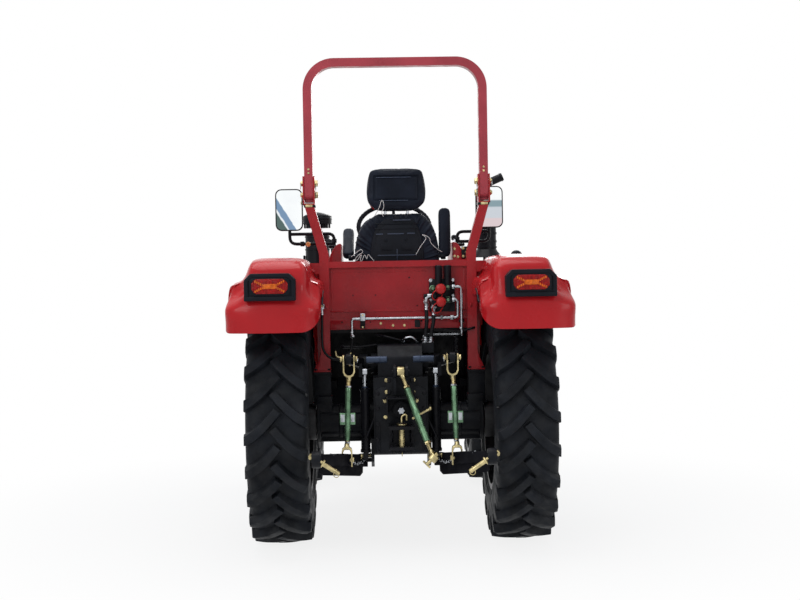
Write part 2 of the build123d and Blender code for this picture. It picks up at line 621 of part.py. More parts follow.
def fender_side(wall, foot):
    """Side view of a fender's outer skin, or of its hollow when wall is not zero, as (y, z)."""
    return [(FENDER_REAR + wall, foot[0], 0), (FENDER_REAR + wall, FENDER_LIP + 70, 60 - wall),
            (FENDER_REAR + 130 + wall / 2, FENDER_TOP - wall - 40, 90 - wall),
            (FENDER_REAR + 270, FENDER_TOP - wall, 60 - wall), (180, FENDER_TOP - wall, 120 - wall),
            (FENDER_FRONT - 220 - wall, 1340 - wall / 2, 160 - wall),
            (FENDER_FRONT - 60 - wall, 1080, 160 - wall), (FENDER_FRONT - wall, foot[1], 0)]


def fender_rear(wall, foot):
    """Rear view of a right-hand fender's outer skin, or of its hollow, as (x, z)."""
    return [(FENDER_IN + wall, foot, 0), (FENDER_OUT - wall, foot, 0),
            (FENDER_OUT - wall, FENDER_SHOULDER_OUT - wall / 3, 80 - wall),
            (FENDER_CROWN_X[1] - wall / 3, FENDER_TOP - wall, 40 - wall),
            (FENDER_CROWN_X[0] + wall / 3, FENDER_TOP - wall, 40 - wall),
            (FENDER_IN + wall, FENDER_SHOULDER_IN - wall / 3, 60 - wall)]


def fender_form():
    """Outer form of a right-hand rear fender, with the arched lower edge of its side walls."""
    edge = [(FENDER_FRONT - 45, FENDER_FOOT, 0), (FENDER_FRONT - 150, 1060, 150),
            (FENDER_FRONT - 360, 1275, 150), (0, 1350, 200), (FENDER_REAR + 290, 1290, 150),
            (FENDER_REAR + 50, FENDER_LIP, 0)]
    side = outline(fender_side(0, (FENDER_LIP, FENDER_FOOT)) + edge)
    rear = outline(fender_rear(0, FENDER_FOOT - 20))
    return extrude_x(side, (FENDER_IN - 5, FENDER_OUT + 5)) & extrude_y(rear, FENDER_SPAN)


def fenders():
    """Rear fenders: crowned shells open below, notched round the posts."""
    low = FENDER_FOOT - 50
    hollow = extrude_x(outline(fender_side(FENDER_WALL, (low, low))), (FENDER_IN - 5, FENDER_OUT + 5))
    hollow &= extrude_y(outline(fender_rear(FENDER_WALL, low - 10)), FENDER_SPAN)
    shell = fender_form() - hollow
    notch = POST_DEPTH / 2 + 2
    shell -= block((FENDER_IN - 10, POST_INNER + POST_WIDTH + 2), (ROPS_Y - notch, ROPS_Y + notch),
                   (FENDER_FOOT - 30, FENDER_TOP + 10))
    nodes["fender_right"], nodes["fender_left"] = both(shell)


def tail_lamps():
    """Tail lamp housings on the fenders' rear faces, each with its lens."""
    y = FENDER_REAR
    outer = [(LAMP_X - LAMP_HALF, LAMP_Z - 70, 8), (LAMP_X + LAMP_HALF, LAMP_Z - 70, 8),
             (LAMP_X + LAMP_HALF, LAMP_Z + 10, 8), (LAMP_X + LAMP_HALF - 30, LAMP_Z + 62, 12),
             (LAMP_X - LAMP_HALF + 30, LAMP_Z + 62, 12), (LAMP_X - LAMP_HALF, LAMP_Z + 10, 8)]

    def pane(grown, corner):
        half, height = LENS_HALF + grown, LENS_HALF_HEIGHT + grown
        return outline([(LAMP_X - half, LAMP_Z - height, corner), (LAMP_X + half, LAMP_Z - height, corner),
                        (LAMP_X + half, LAMP_Z + height, corner), (LAMP_X - half, LAMP_Z + height, corner)])
    housing = extrude_y(outline(outer), (y - 18, y + 110)) - fender_form()
    housing -= extrude_y(pane(4, 6), (y - 20, y - 6))
    housing = housing.solids().sort_by(Axis.Y)[0]
    lens = extrude_y(pane(0, 18), (y - 26, y - 6))
    nodes["tail_lamp_housings"] = Compound(both(housing))
    nodes["tail_lamp_lenses"] = Compound(both(lens))


def consoles():
    """Side consoles between the seat and the fenders."""
    outer = FENDER_IN - SEAT_GAP
    corners = [(CONSOLE_X, DECK_Z, 0), (outer, DECK_Z, 0), (outer, CONSOLE_TOP - 80, 20),
               (CONSOLE_RIDGE, CONSOLE_TOP, 20), (CONSOLE_X, CONSOLE_TOP, 20)]
    box = extrude_y(outline(corners), CONSOLE_Y)
    nodes["consoles"] = Compound(both(box))


def seat():
    """Seat base, cushion, back, headrest and the two armrests."""
    y = SEAT_REAR
    low = SEAT_BOTTOM + SEAT_PAN
    base = block((-150, 150), (y + 80, y + 400), (DECK_Z, SEAT_BOTTOM))
    base += block((-SEAT_HALF + 15, SEAT_HALF - 15), (y + 40, y + 460), (SEAT_BOTTOM, low))
    shell = [(y + 30, low, 0), (y + 60, low, 0), (y + 12, BACK_TOP - 50, 0), (y - 8, BACK_TOP - 50, 0)]
    base += extrude_x(outline(shell), (-SEAT_HALF + 25, SEAT_HALF - 25))
    for x in (-HEADREST_ROD_X, HEADREST_ROD_X):
        base += round_z(HEADREST_ROD_RADIUS, x, y + 4, (BACK_TOP - 60, BACK_TOP + 40))
    nodes["seat_base"] = base
    low += SEAT_GAP
    cushion = block((-SEAT_HALF, SEAT_HALF), (y + 110, y + 500), (low, SEAT_TOP))
    nodes["seat_cushion"] = fillet(cushion.edges().filter_by(Axis.Z), 40)
    side = [(y + 61, low, 0), (y + 108, low, 0), (y + 108, 1400, 30), (y + 75, BACK_TOP, 25),
            (y + 13, BACK_TOP, 10)]
    back = extrude_x(outline(side), (-SEAT_HALF, SEAT_HALF))
    front = [(-SEAT_HALF + 10, low - 1, 0), (SEAT_HALF - 10, low - 1, 0), (SEAT_HALF, 1560, 80),
             (150, BACK_TOP, 60), (-150, BACK_TOP, 60), (-SEAT_HALF, 1560, 80)]
    nodes["seat_back"] = back & extrude_y(outline(front), (y - 20, y + 140))
    head = [(-HEADREST_HALF + 22, BACK_TOP + 20, 20), (HEADREST_HALF - 22, BACK_TOP + 20, 20),
            (HEADREST_HALF, HEADREST_TOP, 40), (-HEADREST_HALF, HEADREST_TOP, 40)]
    rest = extrude_y(outline(head), (y - 30, y + 60))
    for x in (-HEADREST_ROD_X, HEADREST_ROD_X):
        rest -= round_z(HEADREST_ROD_RADIUS + SEAT_GAP, x, y + 4, (BACK_TOP, BACK_TOP + 40 + SEAT_GAP))
    nodes["headrest"] = rest
    raised = block((SEAT_HALF + 6, SEAT_HALF + 66), (y + 10, y + 60), (1490, 1765))
    raised += block((SEAT_HALF - 25, SEAT_HALF + 6), (y + 10, y + 32), (1490, 1520))
    lowered = bar((-SEAT_HALF - 36, y + 30, 1500), (-SEAT_HALF - 36, y + 255, 1658), 54, 50)
    lowered += block((-SEAT_HALF - 20, -SEAT_HALF + 25), (y + 10, y + 32), (1488, 1518))
    nodes["armrests"] = Compound([raised, lowered])


def dashboard():
    """Instrument console with the steering column."""
    corners = [(DASH_REAR, FLOOR_Z, 0), (DASH_FRONT, FLOOR_Z, 0),
               (DASH_FRONT, DASH_TOP - 40, 20), (DASH_REAR + 60, DASH_TOP, 30),
               (DASH_REAR - 20, DASH_TOP - 60, 20)]
    body = extrude_x(outline(corners), (-DASH_HALF, DASH_HALF))
    tilt = math.radians(STEERING_TILT)
    centre = Vector(*STEERING_CENTRE)
    axis = Vector(0, -math.sin(tilt), math.cos(tilt))
    foot = centre - axis * COLUMN_LENGTH
    top = centre - axis * (STEERING_HUB + SEAT_GAP)
    body += rod(tuple(foot), tuple(top), COLUMN_RADIUS)
    hinge_y, hinge_z = HOOD_HINGE
    for side in (-1, 1):
        x = sorted((side * 60, side * 72))
        body += block(x, (DASH_FRONT - 1, hinge_y), (hinge_z - 12, hinge_z + 12))
        body += round_x(12, x, hinge_y, hinge_z)
    body += round_x(HOOD_PIN_RADIUS, (-HOOD_STRAP_X[1] - 4, HOOD_STRAP_X[1] + 4), hinge_y, hinge_z)
    nodes["dashboard"] = body


def steering_wheel():
    """Rim, three spokes, hub and the shaft stub on the column's axis."""
    torus = Torus(STEERING_RADIUS - STEERING_RIM, STEERING_RIM)
    wheel = torus + Pos(0, 0, 25 - STEERING_HUB) * Cylinder(38, 50)
    for index in range(3):
        spoke = Pos((STEERING_RADIUS - STEERING_RIM) / 2, 0, -4) * Box(STEERING_RADIUS - STEERING_RIM, 30, 10)
        wheel += Rot(0, 0, -90 + 120 * index) * spoke
    plane = Plane(origin=STEERING_CENTRE, x_dir=(1, 0, 0),
                  z_dir=(0, -math.sin(math.radians(STEERING_TILT)), math.cos(math.radians(STEERING_TILT))))
    nodes["steering_wheel"] = plane * wheel


def stacks():
    """Upright muffler on the right and air cleaner on the left, each on its pipe from the engine."""
    def stack(x, pipe, sections):
        """An elbow from the engine's side at x, then round sections (radius, low, high) one on another."""
        start = math.copysign(ENGINE_HALF, x)
        body = rod((start, STACK_Y, STACK_PIPE_Z), (x, STACK_Y, STACK_PIPE_Z), pipe)
        body += Pos(x, STACK_Y, STACK_PIPE_Z) * Sphere(pipe)
        for radius, low, high in sections:
            body += round_z(radius, x, STACK_Y, (low, high))
        return body

    muffler = stack(STACK_X, 24, [(24, STACK_PIPE_Z, 1500), (60, 1549, 1860), (25, 1860, 1960)])
    muffler += Pos(STACK_X, STACK_Y, 1525) * Cone(97, 62, 50) + Pos(STACK_X, STACK_Y, 1960) * Sphere(25)
    nodes["muffler"] = muffler + rod((STACK_X, STACK_Y, 1960), (STACK_X + 105, STACK_Y, 2005), 25)
    nodes["air_cleaner"] = stack(-CLEANER_X, 28, [(28, STACK_PIPE_Z, 1330), (75, 1330, 1660),
                                                  (30, 1660, 1700), (70, 1700, 1725), (92, 1725, 1775)])


def mirrors():
    """Mirror heads on bent tube arms from the consoles, the left one further out than the right."""
    y, radius = MIRROR_Y, MIRROR_TUBE
    low, high = MIRROR_TUBE_Z
    half_x, half_z = MIRROR_HALF
    arms, heads = [], []
    for side, reach in MIRROR_X.items():
        foot_x, x = side * CONSOLE_RIDGE, side * reach
        arm = rod((foot_x, y, CONSOLE_TOP - 40), (foot_x, y, high), radius)
        arm += rod((foot_x, y, high), (x, y, high), radius) + Pos(foot_x, y, high) * Sphere(radius)
        arm += rod((foot_x, y, low), (x, y, low), radius) + Pos(x, y, low) * Sphere(radius)
        arm += rod((x, y, low), (x, y, MIRROR_Z), radius)
        arm -= nodes["consoles"]
        arms.append(arm.solids().sort_by(SortBy.VOLUME)[-1])
        face = outline([(x - half_x, MIRROR_Z - half_z, 25), (x + half_x, MIRROR_Z - half_z, 25),
                        (x + half_x, MIRROR_Z + half_z, 25), (x - half_x, MIRROR_Z + half_z, 25)])
        heads.append(extrude_y(face, (y - 32, y - radius - SEAT_GAP)))
    nodes["mirror_arms"] = Compound(arms)
    nodes["mirror_heads"] = Compound(heads)


def hood_form(wall):
    """Outer form of the hood, or its hollow, open below and behind, when wall is not zero."""
    low = HOOD_BOTTOM - (1 if wall else 0)
    rear = HOOD_REAR - (1 if wall else 0)
    half = HOOD_HALF - wall
    top = HOOD_TOP - wall
    side = [(rear, low, 0), (HOOD_FRONT - wall, low, 0), (HOOD_FRONT - 30 - wall, HOOD_NOSE_TOP - 60, 60),
            (HOOD_FRONT - 160, HOOD_NOSE_TOP + 40 - wall, 120), (rear, top, 0)]
    front = [(-half, low, 0), (half, low, 0), (half - 10, HOOD_TOP - 130, 60), (HOOD_HALF - 90, top, 60),
             (90 - HOOD_HALF, top, 60), (10 - half, HOOD_TOP - 130, 60)]
    body = extrude_x(outline(side), (-HOOD_HALF - 5, HOOD_HALF + 5))
    return body & extrude_y(outline(front), (HOOD_REAR - 5, HOOD_FRONT + 5))


def hood():
    """Engine hood as a thin shell with hinge straps, and its two headlamps."""
    shell = hood_form(0) - hood_form(HOOD_WALL)
    hinge_y, hinge_z = HOOD_HINGE
    for side in (-1, 1):
        x = sorted((side * HOOD_STRAP_X[0], side * HOOD_STRAP_X[1]))
        strap = block(x, (hinge_y, hinge_y + 90), (hinge_z - 8, HOOD_TOP)) & hood_form(0)
        strap += round_x(14, x, hinge_y, hinge_z)
        shell += strap - round_x(HOOD_PIN_RADIUS + RUNNING, (x[0] - 1, x[1] + 1), hinge_y, hinge_z)

    def lamp_face(x, inset):
        half = HEADLAMP_HALF - inset
        low, high = HEADLAMP_Z[0] + inset, HEADLAMP_Z[1] - inset
        return outline([(x - half, low, 20), (x + half, low, 20), (x + half, high, 20),
                        (x - half, high, 20)])
    lamps = []
    for x in (-HEADLAMP_X, HEADLAMP_X):
        shell -= extrude_y(lamp_face(x, 0), (HOOD_FRONT - 120, HOOD_FRONT + 5))
        lamps.append(extrude_y(lamp_face(x, 0.5), (HOOD_FRONT - 60, HOOD_FRONT - 12)))
    nodes["hood"] = shell
    nodes["headlamps"] = Compound(lamps)


def lift_arms():
    """Rocker shaft with the two lift arms, their end bosses and the ears for the lift cylinders."""
    y, z = LINK_PIVOT[1], SHAFT_Z
    pin = (y - LIFT_PIN_REACH, z + LIFT_PIN_RISE)
    slant = (ARM_OUT_X - ARM_IN_X) / LIFT_PIN_REACH
    body = round_x(SHAFT_RADIUS, (-ARM_IN_X - 20, ARM_IN_X + 20), y, z)
    for side in (-1, 1):
        body += round_x(SHAFT_RADIUS + 18, sorted((side * (ARM_IN_X - 22), side * (ARM_IN_X + 20))), y, z)
        body += bar((side * ARM_IN_X, y, z), (side * ARM_OUT_X, pin[0], pin[1]), ARM_WIDTH, ARM_DEPTH,
                    side=(1, slant * side, 0))
        for radius, half in ((26, ARM_WIDTH / 2), (LIFT_PIN_RADIUS, FORK_GAP + FORK_PLATE + 8)):
            boss_x = sorted((side * (ARM_OUT_X - half), side * (ARM_OUT_X + half)))
            body += round_x(radius, boss_x, pin[0], pin[1])
        ear_x = sorted((side * (CYLINDER_X + 13), side * (CYLINDER_X + 30)))
        body += block(ear_x, (CYLINDER_Y - 22, CYLINDER_Y + 22), (CYLINDER_EYE_Z - 25, SHAFT_Z + 10))
    nodes["lift_arms"] = body


def lift_rods():
    """Lift rods: top clevis, turnbuckle tube and lower fork, each about its own pins."""
    y = LINK_PIVOT[1] - LIFT_PIN_REACH
    top = SHAFT_Z + LIFT_PIN_RISE
    bottom = LINK_PIVOT[2] + LIFT_PIN_RISE
    low_x = LINK_PIVOT[0] + LINK_SPREAD * LIFT_PIN_REACH
    outer = FORK_GAP + FORK_PLATE

    def fork(x, z, radius, reach):
        """Two eye plates at x, joined by a yoke at the height reach above (or below) the pin."""
        shape = block((x - outer, x + outer), (y - radius, y + radius), sorted((z + reach, z + reach * 1.3)))
        for side in (-1, 1):
            plate = sorted((x + side * FORK_GAP, x + side * outer))
            shape += round_x(radius, plate, y, z)
            shape += block(plate, (y - radius, y + radius), sorted((z, z + reach)))
        return shape
    body = fork(ARM_OUT_X, top, 20, -70)
    body -= round_x(LIFT_PIN_RADIUS + RUNNING, (ARM_OUT_X - outer - 5, ARM_OUT_X + outer + 5), y, top)
    body += fork(low_x, bottom, 19, 62)
    body += rod((ARM_OUT_X, y, top - 85), (low_x, y, bottom + 75), 14)
    body += rod((ARM_OUT_X, y, top - 150), (low_x, y, bottom + 140), 21)
    body += round_x(LIFT_FORK_PIN_RADIUS, (low_x - outer - 9, low_x + outer + 9), y, bottom)
    nodes["lift_rods"] = Compound(both(body))


def lower_links():
    """Lower draft links with an eye at each end and a collared hitch pin tilted through the rear eye."""
    x, y, z = LINK_PIVOT
    end = Vector(LINK_END_X, y - LINK_REACH, z + LINK_RISE)
    tilt = math.radians(HITCH_PIN_TILT)
    inward = Vector(-math.cos(tilt), 0, -math.sin(tilt))
    tip = HITCH_PIN_COLLAR[1] + HITCH_PIN_LENGTH
    low_x = x + LINK_SPREAD * LIFT_PIN_REACH
    body = bar((x, y, z), tuple(end), 20, 62, side=(1, LINK_SPREAD, 0))
    body += round_x(36, (x - 14, x + 14), y, z)
    body -= round_x(LINK_PIN_RADIUS + RUNNING, (x - 40, x + 40), y, z)
    body += round_x(LINK_EYE_RADIUS, (LINK_END_X - LINK_EYE_HALF, LINK_END_X + LINK_EYE_HALF), end.Y, end.Z)
    body += rod(tuple(end - inward * 40), tuple(end + inward * tip), LINK_PIN_RADIUS)
    body += rod(tuple(end + inward * HITCH_PIN_COLLAR[0]), tuple(end + inward * HITCH_PIN_COLLAR[1]),
                LINK_PIN_RADIUS + 9)
    body -= round_x(LIFT_FORK_PIN_RADIUS + 1, (low_x - 40, low_x + 40), y - LIFT_PIN_REACH, z + LIFT_PIN_RISE)
    nodes["lower_links"] = Compound(both(body))


def lift_cylinders():
    """Assist cylinders beside the rear housing, on pins below, with rods that push the lift arms."""
    y = CYLINDER_Y
    eye_x = (CYLINDER_X - 11, CYLINDER_X + 11)
    barrel = round_z(CYLINDER_RADIUS, CYLINDER_X, y, (CYLINDER_BOTTOM + 35, CYLINDER_TOP))
    barrel += block(eye_x, (y - 22, y + 22), (CYLINDER_BOTTOM - 22, CYLINDER_BOTTOM + 40))
    barrel -= round_x(LINK_PIN_RADIUS + RUNNING, (CYLINDER_X - 30, CYLINDER_X + 30), y, CYLINDER_BOTTOM)
    barrel -= round_z(PISTON_RADIUS + RUNNING, CYLINDER_X, y, (640, CYLINDER_TOP + 16))
    piston = round_z(PISTON_RADIUS, CYLINDER_X, y, (700, CYLINDER_EYE_Z - 15))
    piston += round_x(18, (CYLINDER_X - 12, CYLINDER_X + 10), y, CYLINDER_EYE_Z)
    nodes["lift_cylinders"] = Compound(both(barrel))
    nodes["lift_cylinder_rods"] = Compound(both(piston))


def link_brackets():
    """Brackets under the trumpets with the pins of the lower links and of the lift cylinders."""
    x, y, z = LINK_PIVOT
    plate = outline([(y + 45, z - 30, 20), (y + 45, BRACKET_TOP, 0), (CYLINDER_Y - 30, BRACKET_TOP, 0),
                     (CYLINDER_Y - 30, CYLINDER_BOTTOM - 25, 20), (y - 45, z - 30, 20)])
    inner = HOUSING_HALF
    outer = inner + BRACKET_PLATE
    body = extrude_x(plate, (inner, outer)) - round_x(TRUMPET_FLANGE + 1, (inner - 1, outer + 1), 0, AXLE_Z)
    body += round_x(LINK_PIN_RADIUS, (inner, x + 26), y, z)
    body += round_x(LINK_PIN_RADIUS, (inner, CYLINDER_X + 20), CYLINDER_Y, CYLINDER_BOTTOM)
    nodes["link_brackets"] = Compound(both(body))


def top_link_bracket():
    """Bracket on the lift cover with two ears and the top link's pin."""
    y = HOUSING_REAR
    body = block((-75, 75), (y - 16, y), (HOUSING_TOP - 90, HOUSING_TOP))
    for side in (-1, 1):
        ear_x = sorted((side * (TOP_EYE_HALF + 7), side * (TOP_EYE_HALF + 19)))
        body += block(ear_x, (TOP_PIN[1], y), (TOP_PIN[2] - 30, TOP_PIN[2] + 30))
        body += round_x(30, ear_x, TOP_PIN[1], TOP_PIN[2])
        body += block(ear_x, (TOP_PIN[1] + 30, y), (HOUSING_TOP - 85, TOP_PIN[2]))
    body += round_x(TOP_PIN_RADIUS, (-TOP_EYE_HALF - 28, TOP_EYE_HALF + 28), TOP_PIN[1], TOP_PIN[2])
    nodes["top_link_bracket"] = body


def top_link():
    """Top link: turnbuckle tube, two threaded ends and two eyes, the free one swivelled on its ball."""
    start, end = Vector(*TOP_PIN), Vector(*TOP_LINK_END)
    line = (end - start).normalized()
    tilt = math.radians(TOP_EYE_TILT)
    swivelled = Vector(math.cos(tilt), 0, math.sin(tilt))
    body = rod(tuple(start + line * 12), tuple(end - line * 12), 10)
    body += rod(tuple(start + line * 95), tuple(end - line * 85), 17)
    eyes = ((start, Vector(1, 0, 0), TOP_PIN_RADIUS + RUNNING), (end, swivelled, TOP_PIN_RADIUS))
    for point, axis, bore in eyes:
        half = axis * TOP_EYE_HALF
        body += rod(tuple(point - half), tuple(point + half), TOP_EYE_RADIUS)
        body -= rod(tuple(point - half * 3), tuple(point + half * 3), bore)
    nodes["top_link"] = body


def pto_and_hitch():
    """Power take-off shaft with its guard, and the trailer hitch jaw with its pin."""
    step_y = HOUSING_REAR - 2
    nodes["pto_shaft"] = (round_y(PTO_RADIUS, 0, (step_y - PTO_LENGTH, step_y), PTO_Z)
                          + round_y(PTO_COLLAR_RADIUS, 0, (step_y, HOUSING_REAR + 78), PTO_Z))
    y = (HOUSING_REAR - HITCH_LENGTH, HOUSING_REAR)
    pin_y = y[0] + 45
    low, high = HITCH_Z
    width = (-HITCH_HALF, HITCH_HALF)
    jaw = block(width, y, (low, low + 16)) + block(width, y, (high - 16, high))
    jaw += block(width, (HOUSING_REAR - 20, HOUSING_REAR), (low, high))
    jaw -= round_z(HITCH_PIN_RADIUS + SEAT_GAP, 0, pin_y, (low - 10, high + 10))
    pin = round_z(HITCH_PIN_RADIUS, 0, pin_y, (low - 14, high + 18))
    pin += round_z(24, 0, pin_y, (high + SEAT_GAP, high + 14))
    guard_y = (HOUSING_REAR - 100, HOUSING_REAR)
    guard = block((-75, 75), guard_y, (PTO_Z + 62, PTO_Z + 68))
    for x in ((-75, -69), (69, 75)):
        guard += block(x, guard_y, (PTO_Z - 20, PTO_Z + 65))
    nodes["trailer_hitch"] = Compound([jaw, pin])
    nodes["pto_guard"] = guard


def hydraulics():
    """Remote couplers on the panel, the rigid pipes and the three hoses."""
    rear = PANEL_REAR - 12
    body = block(MANIFOLD_X, (rear, PANEL_REAR), MANIFOLD_Z)
    for z in COUPLER_Z:
        body += round_y(COUPLER_RADIUS, COUPLER_X, (rear - 98, rear), z)
        body += round_y(13, FITTING_X, (rear - 52, rear), z + FITTING_RISE)
        body += round_x(10, (FITTING_X, FITTING_X + 24), PIPE_Y, z + FITTING_RISE)
    x, y, z = HOSES["hose_remote_left"][1][0]
    elbow_z = z + 40
    body += round_z(PORT_RADIUS, x, y, (z + SEAT_GAP, elbow_z))
    body += round_x(PORT_RADIUS + 1, (x - PORT_RADIUS - 2, MANIFOLD_X[0] + 18), y, elbow_z)
    body += round_y(PORT_RADIUS + 2, MANIFOLD_X[0] + 18, (y - PORT_RADIUS - 4, rear), elbow_z)
    x, y, z = HOSES["hose_remote_right"][1][0]
    body += round_y(PORT_RADIUS + 1, x, (y - PORT_RADIUS - 2, rear), z + 34)
    body += round_z(PORT_RADIUS, x, y, (z + SEAT_GAP, z + 34))
    nodes["remote_valve"] = body
    block_top = LIFT_TOP + 5
    nodes["lift_valve"] = block(VALVE_X, VALVE_Y, (SHAFT_Z + SHAFT_RADIUS + 25, block_top))
    end_x, _, end_z = HOSES["hose_lift"][1][-1]
    low, high = [z + FITTING_RISE for z in COUPLER_Z]
    near, far, start = FITTING_X + 50, FITTING_X + 70, FITTING_X + 24
    runs = [[(end_x, PIPE_Y, end_z + SEAT_GAP), (end_x, PIPE_Y, DECK_Z + 57), (near, PIPE_Y, DECK_Z + 57),
             (near, PIPE_Y, low), (start, PIPE_Y, low)],
            [(start, PIPE_Y, high), (far, PIPE_Y, high), (far, PIPE_Y, DECK_Z - 35), (far, 56, DECK_Z - 35),
             (VALVE_X[0] + 19, 56, DECK_Z - 35), (VALVE_X[0] + 19, 56, block_top + SEAT_GAP)]]
    pipes = []
    for points in runs:
        run = FilletPolyline(*points, radius=PIPE_BEND)
        pipes.append(sweep(Plane(origin=run @ 0, z_dir=run % 0) * Circle(PIPE_RADIUS), path=run))
    x, y, z = HOSES["hose_lift"][1][0]
    port = round_y(11, x, (y - 12, ROPS_Y - POST_DEPTH / 2), z + 16)
    port += round_z(10, x, y, (z + SEAT_GAP, z + 16))
    nodes["hydraulic_pipes"] = Compound([*pipes, port])


def hose(name, points, radius):
    """A hose along straight runs and tangent arcs. Prints its bend radii and its length."""
    corners = [Vector(*p) for p in points]
    radii = []
    for before, here, after in zip(corners, corners[1:], corners[2:]):
        turn = math.radians((here - before).get_angle(after - here))
        shorter = min((here - before).length, (after - here).length)
        radii.append(0.45 * shorter / math.tan(turn / 2))
    path = FilletPolyline(*points, radius=radii)
    tube = sweep(Plane(origin=path @ 0, z_dir=path % 0) * Circle(radius), path=path)
    print(name, "length", round(path.length, 1), "radii", [round(r) for r in radii],
          "volume share", round(tube.volume / (math.pi * radius ** 2 * path.length), 4))
    nodes[name] = tube


def finish():
    """Move everything to the origin at the bottom centre and write one file per node."""
    whole = Compound([Compound(shape.solids()) for shape in nodes.values()]).bounding_box()
    origin = Vector((whole.min.X + whole.max.X) / 2, (whole.min.Y + whole.max.Y) / 2, whole.min.Z)
    print("origin from the rear axle", origin, "size", whole.size)
    os.makedirs("parts", exist_ok=True)
    for name, shape in nodes.items():
        export_step(Pos(*(-origin)) * Compound(shape.solids()), f"parts/{name}.step")


for make in (wheels, rear_axle_housing, lift_housing, transmission, engine_block, front_frame,
             front_axle_beam, knuckles, tie_rod, radiator, rops_posts, rops_hoop, rear_panel,
             platform, side_tanks, fenders, tail_lamps, consoles, seat, dashboard, steering_wheel, stacks,
             mirrors, hood, lift_arms, lift_rods, lower_links, lift_cylinders, link_brackets,
             top_link_bracket, top_link, pto_and_hitch, hydraulics):
    make()
for hose_name, (hose_radius, route) in HOSES.items():
    hose(hose_name, route, hose_radius)
finish()
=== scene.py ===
import bpy
import bmesh
import json
import math
from mathutils import Matrix, Vector


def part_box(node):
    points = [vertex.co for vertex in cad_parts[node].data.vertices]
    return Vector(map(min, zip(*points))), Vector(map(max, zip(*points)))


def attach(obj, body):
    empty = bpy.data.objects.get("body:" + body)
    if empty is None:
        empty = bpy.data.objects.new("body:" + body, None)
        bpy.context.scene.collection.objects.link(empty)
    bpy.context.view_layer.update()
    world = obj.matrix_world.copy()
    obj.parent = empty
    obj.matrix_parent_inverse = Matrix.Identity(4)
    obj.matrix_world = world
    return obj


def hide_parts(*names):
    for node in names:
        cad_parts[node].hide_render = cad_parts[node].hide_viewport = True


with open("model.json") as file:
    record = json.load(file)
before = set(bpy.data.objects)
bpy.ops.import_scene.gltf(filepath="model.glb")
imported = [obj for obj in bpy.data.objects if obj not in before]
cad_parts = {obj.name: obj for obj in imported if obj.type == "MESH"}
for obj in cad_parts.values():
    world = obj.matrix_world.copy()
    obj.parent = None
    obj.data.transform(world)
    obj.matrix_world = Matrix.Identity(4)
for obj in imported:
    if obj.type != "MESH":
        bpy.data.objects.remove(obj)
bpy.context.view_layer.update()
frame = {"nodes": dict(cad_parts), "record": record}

# Shapes are written in millimetres counted from the rear axle, as the part's source does,
# and moved into the shared frame, in metres, when a piece is made.
AXLE_TO_ORIGIN = -0.84
TO_ROW = Matrix.Translation((0, AXLE_TO_ORIGIN, 0)) @ Matrix.Diagonal((0.001, 0.001, 0.001, 1))
MIRROR_X = Matrix.Diagonal((-1, 1, 1, 1))
X, Y, Z = Vector((1, 0, 0)), Vector((0, 1, 0)), Vector((0, 0, 1))
SIDES = (("left", -1), ("right", 1))
WHITE = (1, 1, 1, 1)
pi = math.pi


def placed(name, data):
    """A new object of the scene."""
    made = bpy.data.objects.new(name, data)
    bpy.context.scene.collection.objects.link(made)
    return made


# ---------------------------------------------------------------- camera and light
CAMERA_PLACE = (-0.14, -7.93, 1.438)
CAMERA_HEADING, CAMERA_TILT, CAMERA_ROLL = (math.radians(angle) for angle in (-1.21, 90 - 1.35, -0.97))
FLOOR_REACH = 30
# Each lamp's place, the point that it faces, its side in metres and its power in watts.
LAMPS = {
    "lamp_top": ((-0.8, -0.6, 5.6), (0, 0, 1), 4.0, 150),
    "lamp_rear": ((-3.4, -5.6, 3.6), (0, -0.8, 0.9), 2.6, 80),
    "lamp_rear_right": ((4.2, -4.6, 2.2), (0, -0.8, 0.9), 2.2, 40),
    "lamp_front": ((1.5, 5.5, 3.4), (0, 1, 1), 3.0, 120),
}


class Graph:
    """Shader nodes, made one a call: an input takes a plain value or another node's output."""

    def __init__(self, owner):
        owner.use_nodes = True
        self.tree = owner.node_tree
        self.tree.nodes.clear()

    def add(self, kind, inputs, **settings):
        node = self.tree.nodes.new("ShaderNode" + kind)
        for name, value in settings.items():
            setattr(node, name, value)
        for slot, value in inputs.items():
            if isinstance(value, bpy.types.NodeSocket):
                self.tree.links.new(value, node.inputs[slot])
            else:
                node.inputs[slot].default_value = value
        return node.outputs

    def math(self, operation, *values):
        return self.add("Math", dict(enumerate(values)), operation=operation)[0]

    def ramp(self, value, low, high, **ends):
        """0 at low and 1 at high, or the To Min and To Max in ends."""
        inputs = {"Value": value, "From Min": low, "From Max": high}
        inputs.update(ends)
        return self.add("MapRange", inputs)[0]

    def blend(self, factor, first, second):
        """Colour between two, each of them an output or three numbers."""
        first, second = (color if isinstance(color, bpy.types.NodeSocket) else (*color, 1)
                         for color in (first, second))
        return self.add("Mix", {0: factor, 6: first, 7: second}, data_type="RGBA")[2]


def look():
    """The camera of the photo, about six metres behind the machine."""
    data = bpy.data.cameras.new("camera")
    data.lens = 60.0
    data.sensor_width = 36.0
    data.clip_end = 100.0
    camera = placed("camera", data)
    turn = (Matrix.Rotation(CAMERA_HEADING, 4, "Z") @ Matrix.Rotation(CAMERA_TILT, 4, "X")
            @ Matrix.Rotation(CAMERA_ROLL, 4, "Z"))
    camera.matrix_world = Matrix.Translation(CAMERA_PLACE) @ turn
    bpy.context.scene.camera = camera


